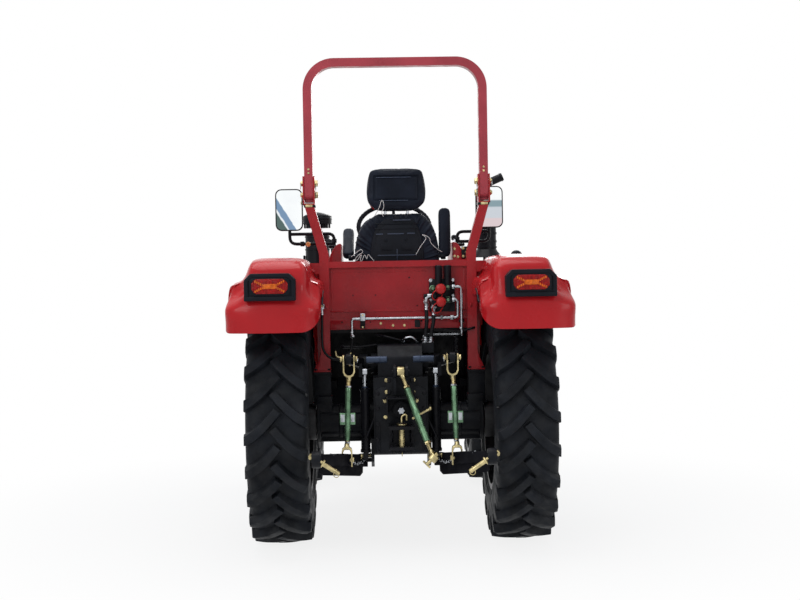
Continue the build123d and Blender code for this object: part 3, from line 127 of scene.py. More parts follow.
def light():
    """Four soft lamps, and a world that looks white and lights dimly."""
    scene = bpy.context.scene
    scene.view_settings.view_transform = "Standard"
    for name, (place, target, size, watts) in LAMPS.items():
        data = bpy.data.lights.new(name, "AREA")
        data.shape = "SQUARE"
        data.size = size
        data.energy = watts
        facing = (Vector(target) - Vector(place)).to_track_quat("-Z", "Y").to_matrix().to_4x4()
        placed(name, data).matrix_world = Matrix.Translation(place) @ facing
    scene.world = bpy.data.worlds.new("world")
    graph = Graph(scene.world)
    dim = graph.add("Background", {"Color": (0.80, 0.88, 1.0, 1), "Strength": 0.30})[0]
    white = graph.add("Background", {"Color": WHITE, "Strength": 1.0})[0]
    graph.add("OutputWorld", {0: graph.add("MixShader", {0: seen_ray(graph), 1: dim, 2: white})[0]})


def seen_ray(graph):
    """1 for what the camera sees directly, in gloss or through glass."""
    path = graph.add("LightPath", {})
    direct = graph.math("MAXIMUM", path["Is Camera Ray"], path["Is Glossy Ray"])
    return graph.math("MAXIMUM", direct, path["Is Transmission Ray"])


def floor():
    """Pale floor that keeps the machine's shadow and fades to white away from it."""
    mesh = bpy.data.meshes.new("floor")
    corners = [(a * FLOOR_REACH, b * FLOOR_REACH, 0) for a, b in ((-1, -1), (1, -1), (1, 1), (-1, 1))]
    mesh.from_pydata(corners, [], [(0, 1, 2, 3)])
    finish = bpy.data.materials.new("floor")
    graph = Graph(finish)
    spot = graph.add("TexCoord", {})["Object"]
    far = graph.add("VectorMath", {0: spot}, operation="LENGTH")["Value"]
    fade = graph.add("MapRange", {"Value": far, "From Min": 0.9, "From Max": 3.2, "To Min": 0.84},
                     interpolation_type="SMOOTHSTEP")[0]
    white = graph.math("MULTIPLY", seen_ray(graph), fade)
    matt = graph.add("BsdfDiffuse", {"Color": (0.80, 0.80, 0.80, 1)})[0]
    glow = graph.add("Emission", {"Color": WHITE, "Strength": 1.0})[0]
    graph.add("OutputMaterial", {0: graph.add("MixShader", {0: white, 1: matt, 2: glow})[0]})
    mesh.materials.append(finish)
    placed("floor", mesh)


# ---------------------------------------------------------------- materials
MATERIALS = {}
DUST_COLOR = (0.20, 0.19, 0.17)
WEAVE_SCALE = 90.0
# How deep a swell, a grain and a weave go, in metres.
SWELL_DEPTH, GRAIN_DEPTH, WEAVE_DEPTH = 0.01, 0.0006, 0.0008


def material(name, color, rough=0.5, metal=0.0, coat=0.0, specular=0.5, shade=0.15, shade_scale=6.0,
             spots=None, spot_color=(0.2, 0.18, 0.15), grain=0.0, grain_scale=300.0, swell=0.0,
             swell_scale=12.0, rough_spread=0.08, dust=0.0, sheen=0.0, emit=0.0, clear=0.0, weave=0.0,
             tint=None):
    """A finish: colour clouding, roughness clouding, a fine grain and a slow swell in the surface,
    optional specks (spots is their scale and threshold), dust that gathers low on the machine, and a
    tint, which is a function that changes the colour from place to place."""
    finish = bpy.data.materials.new(name)
    graph = Graph(finish)
    place = graph.add("TexCoord", {})["Object"]

    def cloud(scale, detail=4.0, low=0.35, high=0.65):
        texture = graph.add("TexNoise", {"Vector": place, "Scale": scale, "Detail": detail})
        return graph.ramp(texture["Fac"], low, high)

    def bumped(height, strength, depth):
        """Lays one more relief over those that the surface has."""
        below = {"Normal": inputs["Normal"]} if "Normal" in inputs else {}
        relief = {"Height": height, "Strength": strength, "Distance": depth, **below}
        inputs["Normal"] = graph.add("Bump", relief)[0]

    dark = tuple(c * (1 - shade) for c in color)
    pale = tuple(min(1, c * (1 + shade) + 0.004 * shade) for c in color)
    tone = graph.blend(cloud(shade_scale), dark, pale)
    if spots:
        tone = graph.blend(cloud(spots[0], 3.0, spots[1], spots[1] + 0.08), tone, spot_color)
    if dust:
        low_down = graph.ramp(graph.add("SeparateXYZ", {0: place})["Z"], 1.1, 0.0, **{"To Max": dust})
        tone = graph.blend(graph.math("MULTIPLY", low_down, cloud(14.0, 6.0, 0.40, 0.72)), tone, DUST_COLOR)
    if tint:
        tone = tint(graph, place, tone)
    limits = {"To Min": max(0.02, rough - rough_spread), "To Max": min(1.0, rough + rough_spread)}
    roughness = graph.ramp(cloud(shade_scale * 2.3, 5.0), 0.0, 1.0, **limits)
    inputs = {"Base Color": tone, "Roughness": roughness, "Metallic": metal, "Coat Weight": coat,
              "Coat Roughness": 0.06, "Specular IOR Level": specular, "Sheen Weight": sheen,
              "Sheen Roughness": 0.4, "Transmission Weight": clear}
    if emit:
        inputs.update({"Emission Color": (*color, 1), "Emission Strength": emit})
    if swell:
        bumped(cloud(swell_scale, 3.0, 0.0, 1.0), swell, SWELL_DEPTH)
    if grain:
        bumped(cloud(grain_scale, 3.0, 0.0, 1.0), grain, GRAIN_DEPTH)
    if weave:
        threads_across, threads_up = (
            graph.add("TexWave", {"Vector": place, "Scale": WEAVE_SCALE}, bands_direction=way)["Fac"]
            for way in ("X", "Z"))
        bumped(graph.math("MULTIPLY", threads_across, threads_up), weave, WEAVE_DEPTH)
    graph.add("OutputMaterial", {0: graph.add("BsdfPrincipled", inputs)[0]})
    MATERIALS[name] = finish


def dirt_and_shade_wells(graph, place, tone):
    """Darkens the wells of the rims, on the machine's side of each wheel: partly dirt, partly painted shadow.
    """
    from_middle = graph.math("ABSOLUTE", graph.add("SeparateXYZ", {0: place})["X"])
    return graph.blend(graph.ramp(from_middle, 0.64, 0.56), tone, (0.014, 0.014, 0.016))


def painted_mirror_reflections(graph, place, tone):
    """Painted reflections on the silvered glass: a white sky and, low down on the left one, slanting bands of
    ground.
    """
    split = graph.add("SeparateXYZ", {0: place})
    ripple = graph.add("TexNoise", {"Vector": place, "Scale": 30.0})["Fac"]
    slant = graph.math("MULTIPLY_ADD", split["X"], 1.61, split["Z"])
    slanted = graph.math("MULTIPLY_ADD", ripple, 0.02, slant)
    left = graph.math("MINIMUM", split["X"], 0.0)
    level = graph.math("MULTIPLY_ADD", left, -4.0, split["Z"])
    soft = 0.004
    for line, height, color in ((slanted, 0.785, (0.20, 0.31, 0.46)), (slanted, 0.722, (0.86, 0.90, 0.93)),
                                (slanted, 0.704, (0.10, 0.15, 0.14)), (level, 1.812, (0.26, 0.36, 0.40)),
                                (level, 1.775, (0.60, 0.64, 0.69)), (level, 1.712, (0.72, 0.60, 0.62))):
        tone = graph.blend(graph.ramp(line, height + soft, height - soft), tone, color)
    return tone


def finishes():
    material("red_paint", (0.40, 0.016, 0.022), 0.30, specular=0.22, coat=0.10, shade=0.12, grain=0.25,
             grain_scale=420, swell=0.05, dust=0.12, spots=(160, 0.70), spot_color=(0.22, 0.02, 0.02))
    material("red_moulding", (0.54, 0.013, 0.018), 0.24, specular=0.16, coat=0.12, shade=0.07, shade_scale=3,
             swell=0.10, swell_scale=5, grain=0.10, grain_scale=500, dust=0.10)
    material("black_casting", (0.009, 0.010, 0.013), 0.42, specular=0.10, shade=0.35,
             shade_scale=9, grain=0.75, grain_scale=240, swell=0.22, swell_scale=26, dust=0.10)
    material("black_paint", (0.008, 0.008, 0.011), 0.30, specular=0.11, shade=0.25, grain=0.30,
             grain_scale=380, dust=0.08, rough_spread=0.12)
    material("zinc_plate", (0.50, 0.42, 0.22), 0.33, metal=0.9, shade=0.35, shade_scale=30, grain=0.35,
             grain_scale=700, rough_spread=0.14, spots=(240, 0.62), spot_color=(0.22, 0.22, 0.14))
    material("zinc_green", (0.13, 0.24, 0.14), 0.36, metal=0.75, shade=0.35, shade_scale=24, grain=0.35,
             grain_scale=700, rough_spread=0.14)
    material("bright_steel", (0.38, 0.40, 0.43), 0.28, metal=1.0, shade=0.20, shade_scale=40, grain=0.25,
             grain_scale=800, rough_spread=0.12)
    material("tyre", (0.0105, 0.0125, 0.0165), 0.60, specular=0.15, shade=0.30, shade_scale=9, grain=0.8,
             grain_scale=420, swell=0.10, dust=0.10, rough_spread=0.12)
    # The rims' tint darkens their inner wells: dirt, and painted shadow.
    material("rim_paint", (0.44, 0.45, 0.47), 0.36, metal=0.25, shade=0.12, grain=0.3,
             grain_scale=400, dust=0.35, spots=(120, 0.66), spot_color=(0.22, 0.20, 0.18), tint=dirt_and_shade_wells)
    material("black_plastic", (0.010, 0.012, 0.017), 0.40, specular=0.10, shade=0.20, grain=0.7,
             grain_scale=520, dust=0.05)
    material("seat_vinyl", (0.011, 0.015, 0.025), 0.48, specular=0.09, shade=0.25, shade_scale=8, grain=1.0,
             grain_scale=330, swell=0.18, swell_scale=34, sheen=0.10)
    # A lighter blue-grey finish that paints highlights along the seat's ribs and piping.
    material("seat_painted_highlight", (0.050, 0.066, 0.105), 0.35, specular=0.3, shade=0.2, grain=0.4)
    material("hose_rubber", (0.010, 0.010, 0.012), 0.50, specular=0.18, shade=0.2, grain=0.5, grain_scale=500,
             weave=0.5)
    # The faint emission of these lenses is painted glow, not a lit lamp.
    material("lamp_lens", (0.36, 0.006, 0.006), 0.2, specular=0.15, coat=0.10, shade=0.30, shade_scale=60,
             swell=0.35, swell_scale=120, emit=0.03)
    material("lamp_amber", (0.80, 0.15, 0.012), 0.2, specular=0.15, coat=0.10, shade=0.30, shade_scale=70,
             swell=0.35, swell_scale=120, emit=0.05)
    material("lamp_glass", (0.86, 0.89, 0.92), 0.05, clear=0.75, shade=0.03, coat=0.5, swell=0.2,
             swell_scale=60)
    # A blue-grey steel whose colour paints the sky's highlight on the rocker shaft and the rod seals.
    material("blue_highlight_steel", (0.035, 0.050, 0.085), 0.38, metal=0.4, specular=0.3, shade=0.25, grain=0.4)
    material("dull_black", (0.010, 0.010, 0.013), 0.75, specular=0.03, shade=0.25, grain=0.5, grain_scale=300)
    material("hoop_paint", (0.44, 0.058, 0.075), 0.34, specular=0.25, coat=0.08, shade=0.12, grain=0.25,
             grain_scale=420, swell=0.05, dust=0.05)
    material("mirror_black", (0.011, 0.011, 0.013), 0.45, specular=0.2, shade=0.2, grain=0.8, grain_scale=500)
    # The mirror glass's tint paints reflections of sky and ground into its colour.
    material("mirror_glass", (0.93, 0.96, 0.99), 0.04, metal=1.0, shade=0.04, shade_scale=8,
             rough_spread=0.01, tint=painted_mirror_reflections)
    material("cap_red", (0.55, 0.02, 0.02), 0.34, specular=0.3, shade=0.12, grain=0.3, grain_scale=400)
    material("cord_white", (0.84, 0.84, 0.82), 0.7, shade=0.1, weave=0.8)
    # The side lamp's faint emission is painted glow, not a lit lamp.
    material("amber_lamp", (0.60, 0.20, 0.03), 0.2, coat=0.4, shade=0.1, emit=0.05, swell=0.2, swell_scale=90)
    material("grille_black", (0.007, 0.007, 0.008), 0.6, specular=0.15, shade=0.2, grain=0.5)
    material("reflector", (0.75, 0.76, 0.78), 0.12, metal=1.0, shade=0.1, shade_scale=60)


def dress_frame():
    """Every CAD node takes the finish of its slot in the record, except the roll-over hoop, which takes
    hoop_paint.
    """
    for row in frame["record"]["subparts"]:
        target = frame["nodes"][row["node"]]
        target.data.materials.clear()
        finish = "hoop_paint" if row["node"] == "rops_hoop" else row["material_slot"]
        target.data.materials.append(MATERIALS[finish])


# ---------------------------------------------------------------- shape helpers
def axes_of(axis):
    axis = Vector(axis).normalized()
    other = Z if abs(axis.z) < 0.9 else X
    u = axis.cross(other).normalized()
    return u, axis.cross(u), axis


def circle(count, start=0.0):
    """Angles spread evenly round a circle."""
    return [start + 2 * pi * k / count for k in range(count)]


def around(middle, half):
    """The two limits that lie half away from middle."""
    return middle - half, middle + half


def skinned(bm, rings, closed=True):
    """Faces between each ring of vertices and the next."""
    for low, high in zip(rings, rings[1:]):
        for i in range(len(low) if closed else len(low) - 1):
            j = (i + 1) % len(low)
            bm.faces.new((low[i], low[j], high[j], high[i]))


def capped(bm, *rings):
    """Closes the rings with flat faces and turns all faces outward."""
    for ring in rings:
        bm.faces.new(ring)
    bmesh.ops.recalc_face_normals(bm, faces=bm.faces)
    return bm


def bevelled(bm, edges, width, segments=2, profile=0.5):
    bmesh.ops.bevel(bm, geom=edges, offset=width, segments=segments, profile=profile, affect="EDGES",
                    clamp_overlap=True)
    return bm


def between(first, second, bevel=0.0, segments=2):
    """Solid between two outlines that have the same number of points."""
    bm = bmesh.new()
    rings = [[bm.verts.new(point) for point in outline] for outline in (first, second)]
    skinned(bm, rings)
    capped(bm, *rings)
    return bevelled(bm, list(bm.edges), bevel, segments) if bevel else bm


def lathe(profile, base, axis=Z, n=32, loop=False):
    """Turned shape: profile is (radius, height along the axis) from base."""
    bm = bmesh.new()
    u, v, w = axes_of(axis)
    base = Vector(base)
    rings = []
    for radius, height in profile:
        foot = base + w * height
        angles = circle(n) if radius > 1e-6 else []
        rings.append([bm.verts.new(foot + u * (radius * math.cos(a)) + v * (radius * math.sin(a)))
                      for a in angles] or [bm.verts.new(foot)])
    for low, high in zip(rings, rings[1:] + (rings[:1] if loop else [])):
        if len(low) == len(high) > 1:
            skinned(bm, [low, high])
        elif len(low) != len(high):
            for i in range(n):
                j = (i + 1) % n
                bm.faces.new((low[0], high[j], high[i]) if len(low) == 1 else (low[i], low[j], high[0]))
    return capped(bm, *[ring for ring in (rings[0], rings[-1]) if len(ring) > 1 and not loop])


def cyl(start, end, radius, radius2=None, n=24, edge=1.0):
    """Cylinder or cone between two points, with its rims broken by edge."""
    start, end = Vector(start), Vector(end)
    radius2 = radius if radius2 is None else radius2
    length = (end - start).length
    edge = min(edge, radius * 0.4, radius2 * 0.4, length * 0.4)
    profile = [(radius - edge, 0), (radius, edge), (radius2, length - edge), (radius2 - edge, length)]
    return lathe(profile, start, end - start, n)


def ball(centre, radius, n=20, rings=10):
    profile = [(radius * math.sin(pi * i / rings), -radius * math.cos(pi * i / rings))
               for i in range(rings + 1)]
    return lathe(profile, centre, Z, n)


def bent_pipe(corners, radius, bend, n=12, steps=5):
    """Rigid pipe along straight runs with round bends."""
    corners = [Vector(p) for p in corners]
    path = [corners[0]]
    for before, corner, after in zip(corners, corners[1:], corners[2:]):
        back, ahead = before - corner, after - corner
        reach = min(bend, back.length * 0.48, ahead.length * 0.48)
        first, last = corner + back.normalized() * reach, corner + ahead.normalized() * reach
        for i in range(steps + 1):
            t = i / steps
            path.append(first * (1 - t) ** 2 + corner * (2 * t * (1 - t)) + last * t ** 2)
    path.append(corners[-1])
    return sweep(path, radius, n)


def sweep(path, radius, n=12):
    """Round tube along a list of points; radius is a number or one number a point."""
    path = [Vector(p) for p in path]
    radii = radius if isinstance(radius, list) else [radius] * len(path)
    bm = bmesh.new()
    u, v, w = axes_of(path[1] - path[0])
    rings = []
    for i, (point, size) in enumerate(zip(path, radii)):
        ahead = (path[min(i + 1, len(path) - 1)] - path[max(i - 1, 0)]).normalized()
        turn = w.rotation_difference(ahead)
        u, v, w = turn @ u, turn @ v, ahead
        rings.append([bm.verts.new(point + u * (size * math.cos(a)) + v * (size * math.sin(a)))
                      for a in circle(n)])
    skinned(bm, rings)
    return capped(bm, rings[0], rings[-1])


def prism(outline, axis, low, high, bevel=0.0, segments=2):
    """Outline pushed along axis: (y, z) for x, (x, z) for y, (x, y) for z."""
    order = {"x": lambda a, b, c: (c, a, b),
             "y": lambda a, b, c: (a, c, b),
             "z": lambda a, b, c: (a, b, c)}[axis]
    near, away = ([order(a, b, level) for a, b in outline] for level in (low, high))
    return between(near, away, bevel, segments)


def box(x, y, z, bevel=1.5, segments=2):
    (x0, x1), (y0, y1), (z0, z1) = sorted(x), sorted(y), sorted(z)
    bevel = min(bevel, (x1 - x0) * 0.45, (y1 - y0) * 0.45, (z1 - z0) * 0.45)
    return prism([(x0, y0), (x1, y0), (x1, y1), (x0, y1)], "z", z0, z1, bevel, segments)


def rounded(half_a, half_b, corner, centre=(0, 0), steps=5):
    """Outline of a rectangle with round corners."""
    points = []
    for sx, sy, start in ((1, 1, 0), (-1, 1, 90), (-1, -1, 180), (1, -1, 270)):
        for i in range(steps + 1):
            a = math.radians(start + 90 * i / steps)
            points.append((centre[0] + sx * (half_a - corner) + corner * math.cos(a),
                           centre[1] + sy * (half_b - corner) + corner * math.sin(a)))
    return points


def merged(*parts):
    out = bmesh.new()
    for part in parts:
        mesh = bpy.data.meshes.new("part")
        part.to_mesh(mesh)
        part.free()
        out.from_mesh(mesh)
        bpy.data.meshes.remove(mesh)
    return out


def moved(bm, matrix):
    bm.transform(matrix)
    if matrix.determinant() < 0:
        bmesh.ops.reverse_faces(bm, faces=bm.faces)
    return bm


def bolt(point, axis, size=8.0, washer=True):
    """Hexagon head on a washer, standing on point along axis."""
    parts = [lathe([(size * 0.95, 1.5), (size * 1.12, 2.5), (size * 1.12, size * 0.9),
                    (size * 0.95, size * 1.1)],
                   point, axis, 6)]
    if washer:
        parts.append(lathe([(size * 1.45, 0), (size * 1.45, 1.2), (size * 1.3, 1.8), (0, 1.8)],
                           point, axis, 20))
    return merged(*parts)


def hex_nut(point, axis, size, height):
    return lathe([(size * 0.6, 0), (size * 0.94, 0), (size * 1.08, height * 0.14),
                  (size * 1.08, height * 0.86), (size * 0.94, height), (size * 0.6, height)], point, axis, 6)


def hoop(centre, axis, radius, wire=2.0, n=24):
    """Wire bent into a ring round an axis."""
    u, v, _ = axes_of(axis)
    return sweep([Vector(centre) + u * radius * math.cos(a) + v * radius * math.sin(a)
                  for a in circle(n) + [2 * pi]], wire, 8)


# ---------------------------------------------------------------- pieces
def in_row(name, bm):
    """Object of a shape that was drawn in millimetres from the rear axle."""
    mesh = bpy.data.meshes.new(name)
    bm.to_mesh(mesh)
    bm.free()
    mesh.transform(TO_ROW)
    return placed(name, mesh)


def dressed(made, finish, body="chassis", replaces=()):
    """Gives an object its finish, the body that it rides and the CAD nodes that it stands for."""
    made.data.materials.clear()
    made.data.materials.append(MATERIALS[finish])
    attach(made, body)
    if replaces:
        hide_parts(*replaces)
    return made


def shaded(made, angle):
    made.data.shade_smooth()
    made.data.set_sharp_from_angle(angle=math.radians(angle))
    return made


def piece(name, shapes, finish, body="chassis", replaces=(), angle=38.0):
    """Turns a shape, or a list of them, into an object that rides a body."""
    bm = merged(*shapes) if isinstance(shapes, list) else shapes
    return dressed(shaded(in_row(name, bm), angle), finish, body, replaces)


def pair(name, shapes, finish, body="chassis", replaces=()):
    """A piece of the shapes and their mirror images across the machine's middle."""
    bm = merged(*shapes)
    return piece(name, [bm.copy(), moved(bm, MIRROR_X)], finish, body, replaces)


def cord_line(name, route, radius, smoothness, finish, replaces=()):
    """Round line whose control points are the route's."""
    data = bpy.data.curves.new(name, "CURVE")
    data.dimensions = "3D"
    spline = data.splines.new("NURBS")
    spline.points.add(len(route) - 1)
    for point, place in zip(spline.points, route):
        point.co = (*(TO_ROW @ Vector(place)), 1)
    spline.order_u = 3
    spline.use_endpoint_u = True
    data.bevel_depth = radius * 0.001
    data.bevel_resolution = smoothness
    data.use_fill_caps = True
    return dressed(placed(name, data), finish, replaces=replaces)


# ---------------------------------------------------------------- hoses
# Each hose's radius in millimetres, its length in metres and its route.
HOSES = {
    "hose_lift": (6.5, 0.4667, [(-403, -90, 1232), (-403, -90, 1160), (-405, -96, 1086), (-402, -99, 1013),
                                (-357, -101, 967), (-293, -97, 967), (-247, -78, 1012), (-247, -78, 1076)]),
    "hose_remote_left": (10.0, 0.2075, [(145, -107, 1250), (145, -107, 1205), (147, -107, 1161),
                                        (142, -94, 1116), (138, -86, 1081), (138, -86, 1045.3)]),
    "hose_remote_right": (10.0, 0.1790, [(183, -105, 1222), (183, -105, 1182), (180, -104, 1145),
                                         (172, -97, 1113), (168, -91, 1080), (168, -91, 1045.3)]),
}


def hoses():
    """Rubber hoses with a crimped ferrule at each end."""
    for name, (radius, length, route) in HOSES.items():
        line = cord_line(name + "_line", route, radius, 6, "hose_rubber", (name,))
        grip, waist = radius + 2.6, radius + 1.2
        crimp = [(radius + 0.4, 0), (grip, 1), (grip, 8), (waist, 10), (grip, 12), (grip, 20), (waist, 22),
                 (grip, 24), (grip, 30), (radius + 0.5, 32), (0, 32)]
        ferrules = piece(name + "_ferrules",
                         [lathe(crimp, Vector(end) + inward * 0.3, inward, 24)
                          for end, inward in ((route[0], -Z), (route[-1], Z))], "bright_steel")


# ---------------------------------------------------------------- wheels
# Centre line's distance from the middle, axle's y and z, tyre's radius and width, rim's radius, bars in a
# row, a bar's height; then the disc's distance from the centre line, and its nuts' count, ring and size.
WHEELS = {"rear": (622.5, 0, 630, 315, 356, 22, 36, -40, 8, 76, 10),
          "front": (600, 2000, 447.5, 211, 254, 18, 27, 0, 6, 47, 8)}
FULL_BARS = 8


def tyre(name, body, centre, radius, width, rim_radius, lugs, height, node):
    """Field tyre: a carcass turned about X with two rows of curved bars, noses leading."""
    half = width / 2
    crown = radius - height
    edge_drop = radius * 0.022

    def top_at(x):
        return radius - edge_drop * (x / half) ** 2

    def base_at(x):
        return crown - edge_drop * 1.4 * (x / half) ** 2

    side = [(0.985, 0.50), (0.999, 0.38), (0.992, 0.24), (0.955, 0.12), (0.900, 0.045), (0.86, 0.0)]
    profile = [(base_at(half * s), half * s) for s in (0, 0.3, 0.6, 0.8)]
    profile += [(crown - edge_drop * 1.8, half * 0.90), (crown - edge_drop * 3.4, half * 0.955)]
    profile += [(rim_radius + (crown - rim_radius) * share, half * s) for s, share in side]
    profile += [(rim_radius + 3, half * 0.80)]
    carcass = lathe(profile + [(r, -x) for r, x in reversed(profile[1:])], centre, X, 132, loop=True)
    raised = []
    for r in (rim_radius + (crown - rim_radius) * share for share in (0.20, 0.42)):
        for inner, outer in ((-half * 0.97, -half * 0.997), (half * 0.97, half * 0.997)):
            raised.append(lathe([(r - 2, inner), (r - 2, outer), (r + 2, outer), (r + 2, inner)],
                                centre, X, 96, loop=True))
    curve = 0.235 * 630 / radius * (half / 157)
    grow = half / 157.0
    # Cuts across a bar: x and radius of its foot, x and radius of its top, its angle, then its half
    # widths at top and foot.
    stations = []
    for t in (0.0, 0.1, 0.22, 0.36, 0.5, 0.64, 0.78, 0.9):
        x = half * (-0.07 + 1.07 * t)
        top_half = grow * (19 + 4 * t)
        stations.append((x, base_at(x) - 6, x, top_at(x), -curve * (1 - (1 - t) ** 1.45), top_half,
                         top_half + grow * 8))
    last, edge_top = stations[-1][4], top_at(half * 0.9)
    for foot_x, drop, top_x, sink, behind, top_half, foot_half in (
            (0.90, 3, 0.975, 14, 0.012, 23, 30), (0.92, 5, 0.996, height * 1.5, 0.015, 22, 27),
            (0.94, 7, 0.992, height * 2.7, 0.017, 18, 20)):
        stations.append((half * foot_x, crown - edge_drop * drop, half * top_x, edge_top - sink,
                         last - behind,
                         grow * top_half, grow * foot_half))
    bars = bmesh.new()
    hub = Vector(centre)
    for side_sign, start in ((-1, 0.06), (1, 0.06 + pi / lugs)):
        for turn in circle(lugs, start):
            rings = []
            for i, (foot_x, foot_r, top_x, top_r, angle, top_half, foot_half) in enumerate(stations):
                ahead = stations[min(i + 1, FULL_BARS - 1)]
                behind = stations[max(min(i, FULL_BARS - 1) - 1, 0)]
                dx, ds = ahead[2] - behind[2], (ahead[4] - behind[4]) * radius
                size = math.hypot(dx, ds)
                skew, along = (-ds / size, dx / size) if i < FULL_BARS else (0.0, 1.0)
                ring = []
                for x, r, w in ((foot_x, foot_r, -foot_half), (top_x, top_r, -top_half),
                                (top_x, top_r, top_half), (foot_x, foot_r, foot_half)):
                    a = turn + angle + along * w / radius
                    place = Vector((side_sign * min(x + skew * w, half * 0.998), r * math.sin(a),
                                    r * math.cos(a)))
                    ring.append(bars.verts.new(hub + place))
                rings.append(ring)
            skinned(bars, rings, closed=False)
            for ring in (rings[0], rings[-1]):
                bars.faces.new(ring)
    bmesh.ops.recalc_face_normals(bars, faces=bars.faces)
    sharp = [e for e in bars.edges if len(e.link_faces) == 2 and e.calc_face_angle(0) > 0.5]
    bevelled(bars, sharp, 2.4, profile=0.6)
    piece(name, [carcass, bars, *raised], "tyre", body, (node,), angle=40)


def wheels():
    for end, (x, y, z, width, rim, lugs, height, *_) in WHEELS.items():
        for side, sign in SIDES:
            tyre(f"tread_{end}_{side}", f"{end}_wheel_{side}", (sign * x, y, z), z, width, rim, lugs, height,
                 f"{end}_tyre_{side}")
    for side, sign in SIDES:
        outward = sign * X
        for end, (x, y, z, *_, disc, count, ring, size) in WHEELS.items():
            hub_x = sign * (x + disc)
            nuts = []
            for a in circle(count, 0.2):
                spot = Vector((hub_x + sign * 10, y + ring * math.cos(a), z + ring * math.sin(a)))
                nuts += [bolt(spot, outward, size), cyl(spot, spot + outward * size * 2, size * 0.5, n=12)]
            piece(f"{end}_wheel_nuts_{side}", nuts, "zinc_plate", f"{end}_wheel_{side}")
            cap = lathe([(34, 0), (36, 6), (32, 20), (20, 28), (0, 30)], (hub_x + sign * 8, y, z),
                        outward, 36)
            piece(f"{end}_hub_cap_{side}", cap, "black_paint", f"{end}_wheel_{side}")


# ---------------------------------------------------------------- fenders and lamps
def spline_path(controls, count):
    """Points evenly spread in parameter along a clamped quadratic B-spline."""
    controls = [Vector(p) for p in controls]
    spans = len(controls) - 2
    out = []
    for i in range(count):
        t = i / (count - 1) * spans
        k = min(int(t), spans - 1)
        u = t - k
        a = controls[k] if k == 0 else (controls[k] + controls[k + 1]) / 2
        c = controls[k + 2] if k == spans - 1 else (controls[k + 1] + controls[k + 2]) / 2
        out.append(a * (1 - u) ** 2 + controls[k + 1] * (2 * u * (1 - u)) + c * u ** 2)
    return out


# Across the shell from its inner edge to its outer one, as (x, depth): the flared skirt and the raised crown.
SKIRT_SECTION = [(391, 176), (391, 146), (393, 116), (399, 88), (412, 62), (436, 38), (476, 18), (540, 5),
                 (620, 0), (708, 4), (776, 16), (820, 36), (846, 64), (856, 104), (859, 176)]
CROWN_SECTION = [(390, 176), (390, 146), (398, 122), (426, 112), (446, 94), (452, 56), (466, 18), (500, 2),
                 (610, 0), (708, 1), (734, 12), (762, 88), (796, 116), (836, 124), (842, 176)]
# Along the shell in (y, z), from the rear's lower edge over the top to the step.
FENDER_LINE = [(-689, 1138), (-689, 1170), (-686, 1220), (-678, 1270), (-672, 1320), (-662, 1400),
               (-600, 1482), (-440, 1503), (-120, 1503), (120, 1500), (300, 1462), (440, 1360), (560, 1200),
               (640, 1040), (680, 900), (689, 802)]
FENDER_ROWS, FENDER_COLUMNS, FENDER_WALL = 120, 58, 0.006
FENDER_REACH, FENDER_TOP = 689.5, 1504.5
FENDER_FOOT, FOOT_BLEND_Z = 1138, 1250
WAIST_Z, WAIST_SOFT, CROWN_INSET = 1252, 118, 22


def smooth_step(value):
    value = min(max(value, 0.0), 1.0)
    return value * value * (3 - 2 * value)


def corner_rise(distance, radius):
    """How far a rounded corner lifts an edge at this distance from its side."""
    if distance >= radius:
        return 0.0
    short = radius - max(distance, 0.0)
    return radius - math.sqrt(max(radius * radius - short * short, 0.0))


def fender_section(share, z):
    """Control points (x, depth) across the shell at a share of its length, where its line is z high."""
    crown = smooth_step((z - WAIST_Z) / WAIST_SOFT) if share < 0.5 else 1.0
    inset = CROWN_INSET * crown * smooth_step((1503 - z) / 110) if share < 0.4 else 0.0
    squeeze = 1 - 0.30 * math.exp(-((share - 0.155) / 0.07) ** 2) - 0.40 * smooth_step((share - 0.8) / 0.2)
    controls = []
    for (x0, d0), (x1, d1) in zip(SKIRT_SECTION, CROWN_SECTION):
        depth = (d0 + (d1 - d0) * crown) * squeeze
        controls.append((x0 + (x1 - x0) * crown, depth + inset * max(0.0, 1 - depth / 120)))
    lip = 26
    hang = max(lip, 105 * math.sin(pi * share / 0.36)) if share < 0.36 else lip
    for index, longer in ((-1, hang), (0, lip)):
        controls[index] = (controls[index][0], controls[index][1] + longer)
    return controls


def fender(name, sign, node):
    """Moulded shell: a raised crown over a waist and a flared skirt that also closes the rear end."""
    line = spline_path(FENDER_LINE, FENDER_ROWS)
    last = len(line) - 1
    bm = bmesh.new()
    grid = []
    for i, point in enumerate(line):
        ahead = (line[min(i + 1, last)] - line[max(i - 1, 0)]).normalized()
        inward = Vector((ahead.y, -ahead.x))
        row = []
        for x, depth in spline_path(fender_section(i / last, point.y), FENDER_COLUMNS):
            spot = point + inward * depth
            if i / last < 0.3 and spot.y < FOOT_BLEND_Z:
                foot = FENDER_FOOT + corner_rise(x - 391, 96) + corner_rise(859 - x, 30)
                spot.y = foot + (spot.y - FENDER_FOOT) * (FOOT_BLEND_Z - foot) / (FOOT_BLEND_Z - FENDER_FOOT)
            reach = min(max(spot.x, -FENDER_REACH), FENDER_REACH)
            row.append(bm.verts.new((sign * x, reach, min(spot.y, FENDER_TOP))))
        grid.append(row)
    skinned(bm, grid, closed=False)
    bmesh.ops.recalc_face_normals(bm, faces=bm.faces)
    bm.faces.ensure_lookup_table()
    columns = FENDER_COLUMNS - 1
    if bm.faces[(last // 2) * columns + columns // 2].normal.z < 0:
        bmesh.ops.reverse_faces(bm, faces=bm.faces)
    made = piece(name, bm, "red_moulding", replaces=(node,), angle=60)
    wall = made.modifiers.new("wall", "SOLIDIFY")
    wall.thickness = FENDER_WALL
    wall.offset = -1
    bpy.context.view_layer.objects.active = made
    bpy.ops.object.modifier_apply(modifier="wall")
    shaded(made, 60)


